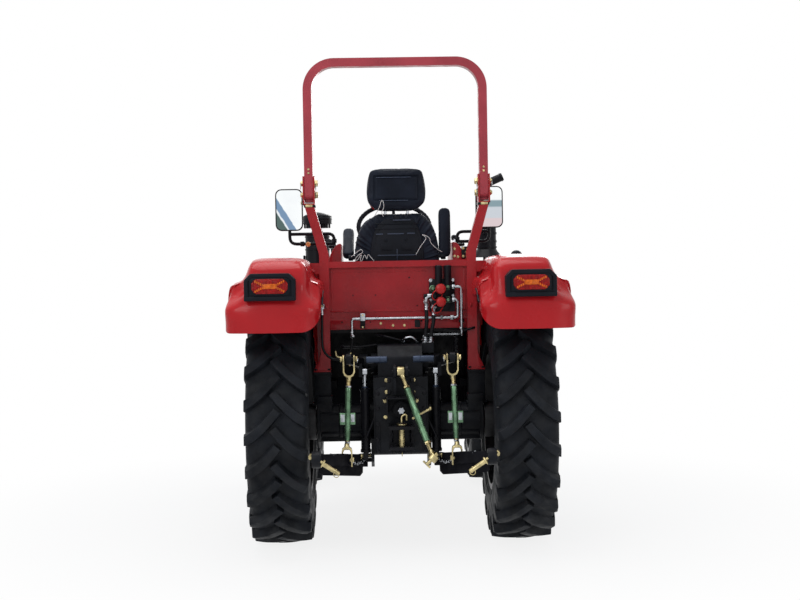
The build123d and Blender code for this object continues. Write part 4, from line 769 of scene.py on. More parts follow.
def fender_details():
    for side, sign in SIDES:
        fender(f"fender_shell_{side}", sign, f"fender_{side}")
    bolts = [bolt((440, y, 1432), (-0.75, 0, 0.66), 7) for y in (-330, -180, 90)]
    bolts += [bolt((384, y, 1240), -X, 7) for y in (-60, 120)]
    pair("fender_bolts", bolts, "red_paint")
    pair("fender_edge_trim", [sweep([(384, -560, 1268), (384, -480, 1318), (384, -400, 1330)], 5)],
         "black_plastic")


def tail_lamps():
    """Housings with a brow and a sill, ribbed red lenses and a crossed amber reflector behind them."""
    x0, z0, y = 628, 1363, -690
    half, low, high, cut, brow = 123, z0 - 69, z0 + 62, 31, 20
    left, right = around(x0, half)
    outer = [(left, low), (right, low), (right, high - cut), (right - cut, high), (left + cut, high),
             (left, high - cut)]
    arch = [(left, low + brow), (left, high - cut), (left + cut, high), (right - cut, high),
            (right, high - cut), (right, low + brow), (right - brow, low + brow),
            (right - brow, high - cut - 8), (right - cut - 8, high - brow), (left + cut + 8, high - brow),
            (left + brow, high - cut - 8), (left + brow, low + brow)]
    body = [prism(outer, "y", y - 10, y + 92, 7, 3), prism(arch, "y", y - 17.5, y + 6, 3, 3),
            box((left - 1, right + 1), (y - 17.8, y + 20), (low - 1, low + 22), 5, 3),
            prism(rounded(96, 43, 16, (x0, z0)), "y", y - 15, y - 6, 2, 2)]
    pair("lamp_housings", body, "black_plastic", replaces=("tail_lamp_housings",))
    (left, right), (low, high), cut = around(x0, 87), around(z0, 36), 21
    octagon = [(left + cut, low), (right - cut, low), (right, low + cut), (right, high - cut),
               (right - cut, high), (left + cut, high), (left, high - cut), (left, low + cut)]
    lens = [prism(octagon, "y", y - 23, y - 6, 4, 3)]
    lens += [box(around(x0 + k * 15, 1.2), (y - 25.4, y - 21), around(z0, 30), 0.6, 1) for k in range(-5, 6)]
    pair("lamp_lenses", lens, "lamp_lens", replaces=("tail_lamp_lenses",))
    cross = [prism(rounded(29, 12, 6, (x0, z0)), "y", y - 25.6, y - 20, 1.5, 2)]
    for s in (-1, 1):
        for rise in (-1, 1):
            cross += [box(around(x0 + s * (32 + k * 9), 3.4), (y - 25.8, y - 20),
                          around(z0 + rise * (6 + k * 4.4), 6), 1.5) for k in range(5)]
    pair("lamp_crosses", cross, "lamp_amber")


# ---------------------------------------------------------------- roll-over bar and rear panel
def rollbar_details():
    """Hinge fixings, spacers and welds of the roll-over bar, and what closes the gaps about its posts."""
    y, inner, outer, lock_z = -20, 431, 494, 1895
    bolts, ends = [], []
    for z in (1834, lock_z):
        bolts.append(lathe([(16, 0), (18.5, 2), (18.5, 13), (15, 17), (0, 17)], (inner, y, z), -X, 6))
        bolts.append(lathe([(23, 0), (23, 2), (21, 3), (0, 3)], (inner, y, z), -X, 24))
        ends.append(cyl((outer, y, z), (outer + 14, y, z), 10, n=20, edge=2))
        ends.append(hex_nut((outer, y, z), X, 15, 9))
    clip = [(outer + 11, y - 13 + 13 * math.cos(a), lock_z - 15 + 15 * math.sin(a)) for a in circle(20)[:17]]
    lanyard = [(inner - 6, y - 18 - 10 * math.sin(pi * k / 12), 1885 - 60 * k / 12) for k in range(13)]
    pair("hinge_bolts", bolts, "zinc_plate")
    pair("hinge_nuts", ends, "zinc_plate")
    pair("lock_pin_clips", [sweep(clip, 1.8, 8), sweep(lanyard, 2.0, 8)], "bright_steel")
    pair("post_shims", [box((440, 485), around(y, 34), (1781, 1790), 2),
                        box((428, 489), around(y, 37), (1768, 1781), 2)], "black_paint")
    pair("hoop_tongues", [box((441, 484), around(y, 12), (1793.5, 1808), 1)], "hoop_paint", "rops_hoop")
    pair("post_shim_plates", [box((444, 480), (y - 39.5, y - 36), (1769, 1782), 1)], "zinc_plate")
    closing = [(415, 1130), (446, 1130), (452, 1300), (470, 1470), (415, 1440)]
    pair("fender_stays", [prism(closing, "y", 17, 23, 2)], "red_paint")
    skirt = [box((383.7, x), ys, zs, edge) for x, ys, zs, edge in (
        (401, (60, 600), (884, 1118), 3), (404, (60, 600), (1098, 1106), 2),
        (399, (540, 600), (640, 890), 2))]
    pair("deck_skirts", skirt, "dull_black")
    weld = [sweep([(492, y - 35, 1783), (492, y + 35, 1783)], 3.2, 8)]
    weld += [sweep([(x, y - 35 + 70 * k / 10, 769.5) for k in range(11)], 4, 8) for x in (364, 414)]
    pair("post_welds", weld, "red_paint")
    gusset = [(412, 1005), (424, 965), (452, 908), (452, 899), (412, 899)]
    pair("post_gussets", [prism(gusset, "y", y - 36, y - 28, 1.5), prism(gusset, "y", y + 28, y + 36, 1.5),
                          box((362, 453), around(y, 40), (898, 908), 3)], "red_paint")
    bracket = [box((362, 452), around(y, 37), (734, 898), 4), box((360, 454), around(y, 41), (884, 898), 3),
               box((366, 448), (y - 39.5, y - 36), (750, 872), 1.5),
               box((352, 462), around(y, 44), (722, 735), 3),
               box((357, 440), around(y, 63), (732.5, 771), 3)]
    pair("post_brackets", bracket, "black_casting")
    feet = []
    for x in (372, 442):
        feet += [bolt((x, y - 34, 908), Z, 7), bolt((x, y - 41, 891), -Y, 5)]
    pair("post_foot_bolts", feet, "black_paint")
    stops = [cyl((462, y - 30, z), (462, y - 33.5, z), 6, n=16, edge=1) for z in (1948, 1968)]
    pair("hoop_bolts", stops, "zinc_plate", "rops_hoop")


def panel_details():
    """Pressed edges, beads and fixings of the rear panel."""
    y = -28
    bead = [box((-360, 360), (y - 3.5, y), (1211, 1219), 1.7),
            box((-360, 150), (y - 2.5, y), (1420, 1426), 1.2)]
    bead += [box(around(x, 4), (y - 3, y), (1190, 1440), 1.4) for x in (-352, 352)]
    bead.append(sweep([(x, y - 23.5, 1449) for x in (-362, 0, 362)], 2.4, 8))
    bead += [box(limits, (y - 19, y - 15), (1122, 1170), 1.5) for limits in ((-362, -72), (62, 362))]
    piece("panel_beads", bead, "red_paint")
    fixings = [bolt((x, y - 19, 1150), -Y, 5) for x in (-95, 335)]
    fixings += [bolt((x, y - 20, 1138), -Y, 5) for x in (-30, 30)]
    piece("panel_bolts", fixings, "zinc_plate")
    # Flat black discs on the panel's small holes: painted shade for the dark inside of each hole.
    holes = []
    for x, z, r in ((-300, 1160, 5), (-150, 1158, 4), (120, 1160, 5), (-120, 1300, 4), (-240, 1300, 4),
                    (60, 1390, 5), (100, 1240, 4)):
        depth = y - 19.4 if z < 1172 else y - 0.4
        holes.append(cyl((x, depth, z), (x, depth + 2, z), r, n=16, edge=0.2))
    piece("panel_hole_shade_discs", holes, "grille_black")
    seals = [sweep([(x, -34, 1440), (x, -34, 1472)], 4, 8) for x in (-378, 378)]
    piece("panel_edge_seals", seals, "black_plastic")


# ---------------------------------------------------------------- remote couplers, pipes, rods
def couplers():
    """Valve block with two red-capped couplers, its unions, and the elbows that the hoses leave."""
    x, rear = 222, -40
    plate = [(164, 1380), (300, 1380), (300, 1262), (268, 1214), (196, 1214), (164, 1262)]
    parts = [prism(plate, "y", rear - 4, rear, 2, 2)]
    for spool in (x - 9, x + 40):
        parts += [cyl((spool, rear - 26, 1345), (spool, rear - 26, 1452), 19, n=28, edge=4),
                  box(around(spool, 15), (rear - 40, rear), (1352, 1372), 3),
                  box(around(spool, 13), (rear - 36, rear - 4), (1420, 1436), 3)]
    caps, straps = [], []
    for z in (1260, 1328):
        middle = (x, rear, z)
        parts += [box(around(x, 26), (rear - 40, rear), around(z, 26), 5, 3),
                  lathe([(20.5, 38), (22, 42), (22, 58), (20, 62), (23, 66), (23, 86), (20.5, 90)],
                        middle, -Y, 32)]
        caps.append(lathe([(19.8, 88), (24.5, 90), (25.5, 94), (24.0, 97), (25.0, 100), (23.5, 106),
                           (17, 110), (6, 111.5), (0, 111.5)], middle, -Y, 36))
        caps += [box(around(x + 24 * math.cos(a), 1.6), around(rear - 96, 6),
                     around(z + 24 * math.sin(a), 1.6), 0.7)
                 for a in circle(12)]
        strap = [(x - 22, rear - 94, z - 4), (x - 48, rear - 92, z - 20), (x - 44, rear - 84, z - 56),
                 (x - 16, rear - 78, z - 60), (x + 6, rear - 70, z - 38), (x + 12, rear - 62, z - 20)]
        straps += [sweep(spline_path(strap, 26), 3.0, 10), hoop((x, rear - 62, z), Y, 24.5, 3.0, 28)]
    piece("coupler_bodies", parts, "black_paint")
    piece("dust_caps", caps, "cap_red")
    piece("dust_cap_straps", straps, "cap_red")
    unions = []
    for spot in ((182, rear, 1330), (261, rear, 1338), (261, rear, 1270)):
        unions += [lathe([(15, 3), (18.5, 5), (18.5, 19), (15, 21)], spot, -Y, 6),
                   lathe([(13.5, 20), (14.5, 22), (14.5, 36), (11, 44), (8, 53), (0, 55)], spot, -Y, 28)]
    piece("coupler_unions", unions, "zinc_green")
    fix = [bolt((bolt_x, rear - 4, z), -Y, size)
           for bolt_x, z, size in ((174, 1372, 7), (290, 1372, 7), (174, 1270, 6), (290, 1290, 6))]
    fix += [hex_nut((282, -78, z), X, 11.5, 17) for z in (1338, 1270)]
    piece("coupler_bolts", fix, "bright_steel")
    elbow = bent_pipe([(183, rear, 1291), (183, -107, 1291), (145, -107, 1291), (145, -107, 1250.6)],
                      13.4, 16, 20)
    other = bent_pipe([(183, rear + 2, 1257), (183, -105, 1257), (183, -105, 1222.6)], 13.0, 14, 20)
    nuts = [hex_nut(spot, Z, size, height) for spot, size, height in (
        ((145, -107, 1253), 15.5, 14), ((183, -105, 1225), 15, 13), ((138, -86, 1045.6), 15, 8),
        ((168, -91, 1045.6), 15, 8))]
    piece("coupler_elbows", [elbow, other, *nuts], "bright_steel")


def pipe_fittings():
    """Nuts and brackets of the bright pipes, and the control rods and return spring below them."""
    y = -78
    steel = [hex_nut(spot, way, size, height) for spot, way, size, height in (
        ((-247, y, 1078), Z, 11.5, 16), ((291, y, 1177), -X, 12, 22), ((232, y, 1177), -X, 11, 12),
        ((331, y, 1112), Z, 11, 14), ((134, 56, 1046), Z, 12, 14))]
    steel += [lathe([(10, 0), (13, 1), (13, 13), (10, 14)], (-403, -90, 1232.6), Z, 6),
              lathe([(12.2, 0), (14, 2), (14, 30), (12.2, 32)], (-403, -88, 1248), Y, 24),
              box((-205, -175), around(y, 12), (1164, 1206), 5, 3)]
    piece("pipe_nuts", steel, "bright_steel")
    brackets = [box((-203, -177), (y + 10, -42), (1130, 1168), 2),
                box((-203, -177), (y - 8, y + 12), (1126, 1142), 2),
                box((318, 344), (y + 7, -42), (1150, 1166), 2), box((84, 112), (-72, -42), (1128, 1166), 2)]
    piece("pipe_brackets", brackets, "black_paint")
    screws = [bolt(spot, -Y, size, washer=False)
              for spot, size in (((-190, y - 12, 1197), 5), ((-190, y - 8, 1134), 5),
                                 ((-403, -104, 1248), 6))]
    piece("pipe_screws", screws, "zinc_plate")
    rods = [bent_pipe(corners, radius, bend) for corners, radius, bend in (
        ([(236, -66, 1112), (322, -66, 1099), (396, -62, 1120), (404, -40, 1122)], 6, 30),
        ([(-300, -40, 1034), (-300, -66, 1030), (-215, -66, 1026), (-120, -40, 1036)], 8, 20),
        ([(-120, -30, 1090), (-70, -90, 1082), (10, -90, 1060), (60, -40, 1050)], 6, 30))]
    piece("control_rods", rods, "black_paint")
    link = bent_pipe([(-336, -92, 1010), (-330, -92, 978), (-276, -92, 972), (-262, -70, 972)], 5, 14)
    lever = [cyl((-258, -80, 1000), (-262, -84, 930), 9, n=16),
             cyl((-262, -96, 972), (-262, -66, 972), 11, n=20)]
    piece("control_link", [link, *lever], "zinc_plate")
    spring_x, spring_y, spring_top, turns, steps = 300, -80, 1080, 13, 14
    coil = []
    for k in range(turns * steps + 1):
        a = 2 * pi * k / steps
        coil.append((spring_x + 12 * math.cos(a), spring_y + 12 * math.sin(a),
                     spring_top - 96 * k / (turns * steps)))
    shank = [(spring_x, spring_y, spring_top + 16), (spring_x, spring_y, spring_top + 32)]
    piece("return_spring", [sweep(coil, 2.2, 6), sweep(shank, 2.2, 6),
                            cyl((spring_x, spring_y, 984), (spring_x, spring_y, 950), 2.4, n=8)],
          "black_paint")
    feed = bent_pipe([(20, -62, 1046), (26, -90, 1072), (70, -96, 1080), (96, -84, 1046), (100, -60, 1044)],
                     6.5, 34)
    piece("feed_pipe", [feed, hex_nut((22, -76, 1058), (0.1, 0.7, -0.6), 11, 16)], "bright_steel")


# ---------------------------------------------------------------- three-point linkage
# Where the linkage's pins lie on the right-hand side.
ROD_TOP, ROD_FOOT = Vector((262, -360, 985)), Vector((278.8, -360, 475))
LINK_START, LINK_END, LINK_TILT = Vector((190, -60, 430)), Vector((415, -820, 544)), math.radians(33)
TOP_START, TOP_END, TOP_TILT = Vector((0, -330, 915)), Vector((150, -520, 500)), math.radians(45)


def eye(centre, axis, radius, half, bore):
    """Ring with a worn round lip."""
    return lathe([(bore + 9, -half * 0.82), (radius * 0.94, -half), (radius, -half * 0.7),
                  (radius, half * 0.7), (radius * 0.94, half),
                  (bore + 9, half * 0.82)], centre, axis, 40, loop=True)


def ball_in_eye(centre, axis, radius, half, bore):
    steps = 12
    span = math.acos(min(1, half / radius)) if radius > half else 0.1
    angles = [-pi / 2 + span + (pi - 2 * span) * i / steps for i in range(steps + 1)]
    outer = [(radius * math.cos(a), radius * math.sin(a)) for a in angles]
    return lathe([(bore, half), (bore, -half)] + outer, centre, axis, 36, loop=True)


def threads(start, end, radius, pitch=4.0):
    """Threaded bar as a row of rounded ridges."""
    start, end = Vector(start), Vector(end)
    length = (end - start).length
    count = max(2, int(length / pitch))
    profile = []
    for h in (length * k / count for k in range(count)):
        profile += [(radius * 0.88, h), (radius, h + pitch * 0.45)]
    profile.append((radius * 0.88, length))
    return lathe(profile, start, end - start, 20)


def chain(start, end, links, sag=20.0):
    """Hanging row of oval links."""
    start, end = Vector(start), Vector(end)
    knots = [start.lerp(end, k / links) - Z * sag * 4 * (k / links) * (1 - k / links)
             for k in range(links + 1)]
    parts = []
    for k, (a, b) in enumerate(zip(knots, knots[1:])):
        along = (b - a).normalized()
        across = along.cross(Y if k % 2 else Z).normalized()
        half = (b - a).length * 0.62
        parts.append(sweep([(a + b) / 2 + along * half * math.cos(angle) + across * 7.5 * math.sin(angle)
                            for angle in circle(16) + [2 * pi]], 2.4, 7))
    return merged(*parts)


def lift_rod_pieces():
    """Lift rods: a yoke at the top, a green barrel between threads, and a fork at the lower link."""
    top, low = ROD_TOP, ROD_FOOT
    outside, inside = 30.5, 23
    yoke = [(-outside, 16), (-outside, -66), (-outside + 8, -84), (-outside + 22, -92), (outside - 22, -92),
            (outside - 8, -84), (outside, -66), (outside, 16), (inside, 16), (inside, -62), (inside - 6, -76),
            (inside - 16, -82), (-inside + 16, -82), (-inside + 6, -76), (-inside, -62), (-inside, 16)]
    fork = [(-27, 42), (-24, 58), (-12, 66), (12, 66), (24, 58), (27, 42), (27, -34), (20, -34), (20, 38),
            (13, 52), (-13, 52), (-20, 38), (-20, -34), (-27, -34)]
    clevis = [prism([(top.x + x, top.z + z) for x, z in yoke], "y", *around(top.y, 15), 1.5, 2)]
    clevis += [lathe([(19, -4), (21, -2.5), (21, 2.5), (19, 4)], top + s * 27 * X, X, 28) for s in (-1, 1)]
    clevis.append(cyl(top - 88 * Z, top - 112 * Z, 15, 12, n=28, edge=3))
    gold = [prism([(low.x + x, low.z + z) for x, z in fork], "y", *around(low.y, 15), 1.5, 2),
            cyl(low + 64 * Z, low + 84 * Z, 14, 12, n=28, edge=2),
            cyl(low - 30 * X, low + 30 * X, 9, n=20, edge=2),
            hex_nut(low + 27 * X, X, 13, 8), hex_nut(low - 35 * X, X, 13, 8)]
    axis = (low - top).normalized()
    a, b = top + axis * 105, low - axis * 78
    clevis.append(threads(a - axis * 6, a + axis * 42, 12))
    gold.append(threads(b + axis * 4, b - axis * 48, 11))
    tube = [lathe([(13, 0), (15, 4), (15, 26), (15.5, 210), (14, 244), (11, 268)], a + axis * 38, axis, 36)]
    bright = [hex_nut(a + axis * 28, axis, 15, 11), hex_nut(b - axis * 16, axis, 14, 10)]
    x, y, z = a.lerp(b, 0.60)
    for low_x, high_x in ((x - 38, x - 12), (x + 12, x + 40)):
        tube.append(box((low_x, high_x), (y - 8, y - 3), around(z, 30), 2))
        bright.append(box((low_x + 4, high_x - 4), (y - 10, y - 7.5), (z - 16, z + 22), 1))
    bright.append(hoop(top - Vector((44, 0, 8)), (1, 0, 0.2), 13))
    pair("lift_rod_clevises", clevis, "zinc_plate", "lift_rods", ("lift_rods",))
    pair("lift_rod_tubes", tube, "zinc_green", "lift_rods")
    pair("lift_rod_forks", gold, "zinc_plate", "lift_rods")
    pair("lift_rod_nuts", bright, "bright_steel", "lift_rods")


def lower_link_pieces():
    """Flat draft links with a web below, an eye and hitch pin at the end, and a stay chain."""
    start, end = LINK_START, LINK_END
    length = (end - start).length
    along = (end - start).normalized()
    inward = Vector((-math.cos(LINK_TILT), 0, -math.sin(LINK_TILT)))
    across = along.cross(Z).normalized()
    up = across.cross(along).normalized()
    edge = [(t * length, h) for t, h in ((0.0, 26), (0.06, 34), (0.14, 30), (0.38, 30), (0.5, 31), (0.90, 26),
                                         (0.95, 32), (1.0, 30))]
    flat = [start + along * l + up * h - across * 10 for l, h in edge + [(l, -h) for l, h in reversed(edge)]]
    bars = [between(flat, [p + across * 20 for p in flat], 3),
            lathe([(12, -13), (34, -14), (36, -11), (36, 11), (34, 14), (12, 13)], start, X, 36, loop=True),
            lathe([(10.5, -14), (24, -14), (25, -12), (25, 12), (24, 14), (10.5, 14)], ROD_FOOT, X,
                  30, loop=True)]
    web = [start + along * (length * t) + up * h
           for t, h in ((0.04, -20), (0.93, -20), (0.93, -62), (0.88, -74), (0.10, -84), (0.04, -66))]
    pair("draft_link_webs", [between([p - across * 6 for p in web], [p - across for p in web])], "dull_black",
         "lower_links")
    pair("draft_link_bars", bars, "dull_black", "lower_links", ("lower_links",))
    pair("draft_link_eyes", [eye(end, X, 40, 21, 17), ball_in_eye(end, inward, 27, 20, 11.2)],
         "black_casting",
         "lower_links")
    linch = end + inward * 112
    pin = [lathe([(9, -40), (11, -38), (11, 31), (19, 32), (20, 33), (20, 39), (19, 40), (11, 41), (11, 120),
                  (8, 128), (0, 128)], end, inward, 32),
           hex_nut(end - inward * 22, -inward, 16, 13),
           hoop(linch - Vector((0, 6, 10)), (0.3, 1, 0.1), 14, 1.8),
           cyl(linch - 15 * Z, linch + 15 * Z, 3.2, n=12)]
    pair("hitch_pins", pin, "zinc_plate", "lower_links")
    pair("draft_link_chains", [chain((300, -420, 512), (352, -610, 540), 7, 26)], "bright_steel",
         "lower_links")


def top_link_pieces():
    """Top link: ball ends on threads, a green barrel, and a bar to turn it."""
    start, end = TOP_START, TOP_END
    line = (end - start).normalized()
    length = (end - start).length
    swivel = Vector((math.cos(TOP_TILT), 0, math.sin(TOP_TILT)))
    gold = [eye(start, X, 25, 17, 10), eye(end, swivel, 25, 17, 10),
            ball_in_eye(start, X, 18, 16.5, 9.8), ball_in_eye(end, swivel, 18, 16.5, 9.5)]
    gold += [cyl(at + way * 20, at + way * 44, 15, 11, n=24, edge=2)
             for at, way in ((start, line), (end, -line))]
    gold += [threads(start + line * 40, start + line * 104, 10.5),
             threads(end - line * 40, end - line * 96, 10.5)]
    piece("top_link_ends", gold, "zinc_plate", "top_link", ("top_link",))
    tube = lathe([(12, 0), (16, 3), (17, 14), (17, 120), (19, 124), (19, 150), (17, 154), (17, length - 196),
                  (16, length - 186), (12, length - 183)], start + line * 96, line, 36)
    piece("top_link_tube", tube, "zinc_green", "top_link")
    middle = start + line * 250
    bar = Vector((0.80, -0.35, 0.48)).normalized()
    handle = swivel.cross(Y).normalized()
    grip = end - swivel * 46
    nuts = [hex_nut(start + line * 84, line, 15, 11), hex_nut(end - line * 88, line, 15, 11),
            sweep([middle - bar * 26, middle + bar * 30, middle + bar * 78], 5.5, 12),
            ball(middle + bar * 80, 8, 16, 8), ball(middle - bar * 27, 7, 16, 8),
            cyl(grip, end + swivel * 30, 9, n=20, edge=2),
            sweep([grip - handle * 24, grip + handle * 24], 5, 12)]
    piece("top_link_hardware", nuts, "zinc_plate", "top_link")


def lift_arm_details():
    """Collars where the lift arms leave the rocker shaft, and the pins at their ends."""
    collars = []
    for s in (-1, 1):
        collars += [cyl((s * 190, -60, 940), (s * 222, -60, 940), 30, n=36, edge=4),
                    lathe([(52, 0), (54, 3), (54, 9), (50, 12), (30, 12)], (s * 115, -60, 940), s * X, 40)]
    piece("rocker_collars", collars, "black_casting", "lift_arms")
    pins = [lathe([(13, 0), (14.5, 2), (14.5, 8), (12, 11), (0, 11)], ROD_TOP + way * 34, way, 28)
            for way in (X, -X)]
    pair("lift_arm_pins", pins, "zinc_plate", "lift_arms")


def cylinder_details():
    """End caps, pins, pipes and rod seals of the assist cylinders."""
    x, y = 184, -180
    caps = [lathe([(24, 0), (27.5, 2), (27.5, h - 2), (24, h)], (x, y, z - h), Z, 36)
            for z, h in ((820, 14), (505, 18))]
    caps.append(lathe([(10, 0), (14, 1), (14, 14), (10, 16)], (x, y - 24, 560), -Y, 6))
    pair("assist_cylinder_caps", caps, "black_paint")
    pair("assist_cylinder_pins", [cyl((150, y, 470), (212, y, 470), 11, n=20, edge=2),
                                  hoop((207, y, 462), (1, 0, 0.3), 10)], "zinc_plate")
    hose_end = bent_pipe([(x, y - 38, 560), (x, y - 52, 566), (150, y - 56, 640), (122, y, 700)], 6, 18)
    pair("assist_cylinder_pipes", [hose_end], "black_paint")
    # The seals' blue-grey colour is a painted highlight on the rods.
    seal = lathe([(13.3, 0), (16.5, 1.5), (16.5, 9), (13.3, 11)], (x, y, 820.5), Z, 30)
    pair("assist_cylinder_seals", [seal], "blue_highlight_steel")


# ---------------------------------------------------------------- rear of the gearbox
COVER_BOLTS = [(x, z) for z in (800, 722, 640, 560, 500) for x in (-120, 120)] + [(-40, 500), (40, 500)]


def axle_flanges():
    """Flanges and ribs along both trumpets of the rear axle."""
    cast = []
    for s in (-1, 1):
        for profile, x in (([(128, 0), (130, 3), (130, 15), (126, 18), (92, 18)], 168),
                           ([(92, 0), (97, 4), (97, 18), (92, 24)], 300),
                           ([(104, 0), (108, 4), (108, 16), (104, 20), (50, 20)], 420)):
            cast.append(lathe(profile, (s * x, 0, 630), s * X, 48))
        cast += [box((s * 186, s * 416), around(math.cos(a) * 95, 5), around(630 + math.sin(a) * 95, 5), 2)
                 for a in (0.6, -0.6, 2.54, -2.54)]
    return cast


def gearbox_details():
    """Covers, ribs and bolts on the gearbox's rear face and the axle."""
    y = -250
    cast = [prism([(-132, 488), (132, 488), (132, 812), (96, 832), (-96, 832), (-132, 812)], "y", y - 9,
                  y + 2, 3, 2),
            prism([(-98, 786), (98, 786), (98, 660), (78, 644), (-78, 644), (-98, 660)], "y",
                  y - 15, y, 3, 2)]
    cast += [box(around(x, 4), (y - 12, y), (500, 632), 2) for x in (-112, -56, 56, 112)]
    cast += [lathe([(46, 0), (48, 3), (48, 12), (40, 16), (26, 16)], (0, y - 9, 715), -Y, 40),
             prism([(-84, 1028), (84, 1028), (96, 984), (96, 890), (-96, 890), (-96, 984)], "y",
                   -150, -58, 8, 3)]
    piece("gearbox_covers", cast + axle_flanges(), "black_casting")
    fixings = []
    for depth, size, spots in (
            (y - 9, 8, COVER_BOLTS), (y - 15, 7, [(x, z) for z in (774, 668) for x in (-86, 86)]),
            (y - 16, 9, [(x, z) for z in (866, 806) for x in (-61, 61)]),
            (-150, 7, [(-74, 1010), (74, 1010), (-84, 904), (84, 904), (0, 1012)])):
        fixings += [bolt((x, depth, z), -Y, size) for x, z in spots]
    for s in (-1, 1):
        for x, ring, angles, way, size in ((186, 112, circle(10, 0.3), s, 7), (420, 96.03, circle(8), -s, 5)):
            fixings += [bolt((s * x, ring * math.cos(a), 630 + ring * math.sin(a)), way * X, size)
                        for a in angles]
    piece("gearbox_bolts", fixings, "black_paint")
    pair("axle_sumps", [box((182, 440), (-50, 50), (528, 616), 10, 3)], "black_casting")
    # Blue-grey sleeves on the rocker shaft: painted highlights along the shaft.
    pair("rocker_shaft_highlight_sleeves", [cyl((66, -214, 970), (176, -214, 970), 18, n=32, edge=3),
                            cyl((100, -214, 970), (106, -214, 970), 20, n=32, edge=1)], "blue_highlight_steel")
    gold = [bolt((x, y - 16, z), -Y, 7) for x, z in ((-72, 866), (66, 866), (-72, 806), (64, 806), (-81, 760),
                                                     (80, 760), (-81, 676))]
    piece("gearbox_gold_bolts", gold, "zinc_plate")


def hitch_details():
    """Splined power shaft, trailer hitch with its pin, and the check chains."""
    outline = []
    for base in circle(6):
        outline += [(r * math.cos(base + turn), 715 + r * math.sin(base + turn))
                    for turn, r in ((-0.26, 14.4), (-0.24, 17.5), (0.0, 17.5), (0.24, 17.5), (0.26, 14.4))]
    splines = [prism(outline, "y", -331.5, -253, 0.8, 1),
               cyl((0, -331.9, 715), (0, -326, 715), 9, n=20, edge=1),
               cyl((0, -260, 715), (0, -252, 715), 24, n=32, edge=2)]
    piece("pto_splines", splines, "bright_steel", replaces=("pto_shaft",))
    y = -340
    pin = [lathe([(15.2, 0), (22, 1), (26, 5), (26, 9), (22, 13), (15, 14), (0, 14)], (0, y, 640.5), Z, 32),
           bent_pipe([(0, y, 652), (0, y, 690), (26, y, 700), (26, y, 668)], 4.5, 12),
           cyl((0, y, 534), (0, y, 624), 15.2, n=28, edge=1), hoop((0, y - 18, 500), X, 12, 2)]
    piece("hitch_pin_dress", pin, "zinc_plate")
    plates = [box((-66, 66), (-386, y), (521, 527), 2), box((-66, 66), (-384.5, y), (634, 639.8), 2)]
    cheek = [(-250, 540), (-250, 620), (-300, 620), (-330, 600), (-300, 560)]
    for s in (-1, 1):
        plates += [prism(cheek, "x", *around(s * 46, 4), 1.5), bolt((s * 50, -270, 580), -Y, 8)]
    piece("hitch_plates", plates, "black_paint")
    piece("check_chains", [chain((s * 166, -70, 470), (s * 262, -330, 462), 9, 30) for s in (-1, 1)],
          "bright_steel")


def linkage():
    lift_rod_pieces()
    lower_link_pieces()
    top_link_pieces()
    lift_arm_details()
    cylinder_details()
    gearbox_details()
    hitch_details()


# ---------------------------------------------------------------- seat
SEAT_SLOPE = math.radians(4.2)


def puffed(name, bm, finish, replaces, dents, voxel=0.006, cap=0.012, pressure=4.0):
    """Padded piece: the form is remeshed, blown up a little as cloth, smoothed, then given its seams."""
    made = in_row(name, bm)
    remesh = made.modifiers.new("remesh", "REMESH")
    remesh.mode = "VOXEL"
    remesh.voxel_size = voxel
    bake_modifiers(made)
    start = [vertex.co.copy() for vertex in made.data.vertices]
    cloth = made.modifiers.new("cloth", "CLOTH")
    cloth.settings.quality = 4
    cloth.settings.mass = 0.25
    cloth.settings.use_pressure = True
    cloth.settings.uniform_pressure_force = pressure
    cloth.settings.effector_weights.gravity = 0.0
    cloth.settings.tension_stiffness = 12
    cloth.settings.compression_stiffness = 12
    cloth.settings.bending_stiffness = 0.4
    cloth.point_cache.frame_start = 1
    cloth.point_cache.frame_end = 20
    for step in range(1, 21):
        bpy.context.scene.frame_set(step)
    bake_modifiers(made)
    bpy.context.scene.frame_set(1)
    for vertex, before in zip(made.data.vertices, start):
        move = vertex.co - before
        if move.length > cap:
            vertex.co = before + move.normalized() * cap
    made.modifiers.new("smooth", "SMOOTH").iterations = 4
    made.modifiers.new("finer", "SUBSURF").levels = 1
    bake_modifiers(made)
    drawn = TO_ROW.inverted()
    moves = [vertex.normal * (dents(drawn @ vertex.co, vertex.normal) * 0.001)
             for vertex in made.data.vertices]
    for vertex, move in zip(made.data.vertices, moves):
        vertex.co += move
    made.data.shade_smooth()
    dressed(made, finish, replaces=replaces)


def bake_modifiers(made):
    """Fixes the modifiers' result as the object's own mesh."""
    graph = bpy.context.evaluated_depsgraph_get()
    result = bpy.data.meshes.new_from_object(made.evaluated_get(graph), depsgraph=graph)
    made.modifiers.clear()
    old = made.data
    made.data = result
    bpy.data.meshes.remove(old)


def groove(distance, width, depth):
    """How far a seam pulls the surface in at this distance from it."""
    return -depth * math.exp(-(distance / width) ** 2)


BACK_OUTLINE = [(-225, 1212), (225, 1212), (246, 1400), (248, 1530), (238, 1596), (218, 1656), (190, 1700),
                (146, 1746), (-112, 1746), (-176, 1706), (-214, 1660), (-238, 1596), (-248, 1530),
                (-246, 1400)]


def leaned(bm):
    """Tips an upright shape to the back rest's slope about its foot."""
    foot = Vector((0, 100, 1210))
    turn = Matrix.Translation(foot) @ Matrix.Rotation(SEAT_SLOPE, 4, "X") @ Matrix.Translation(-foot)
    return moved(bm, turn)


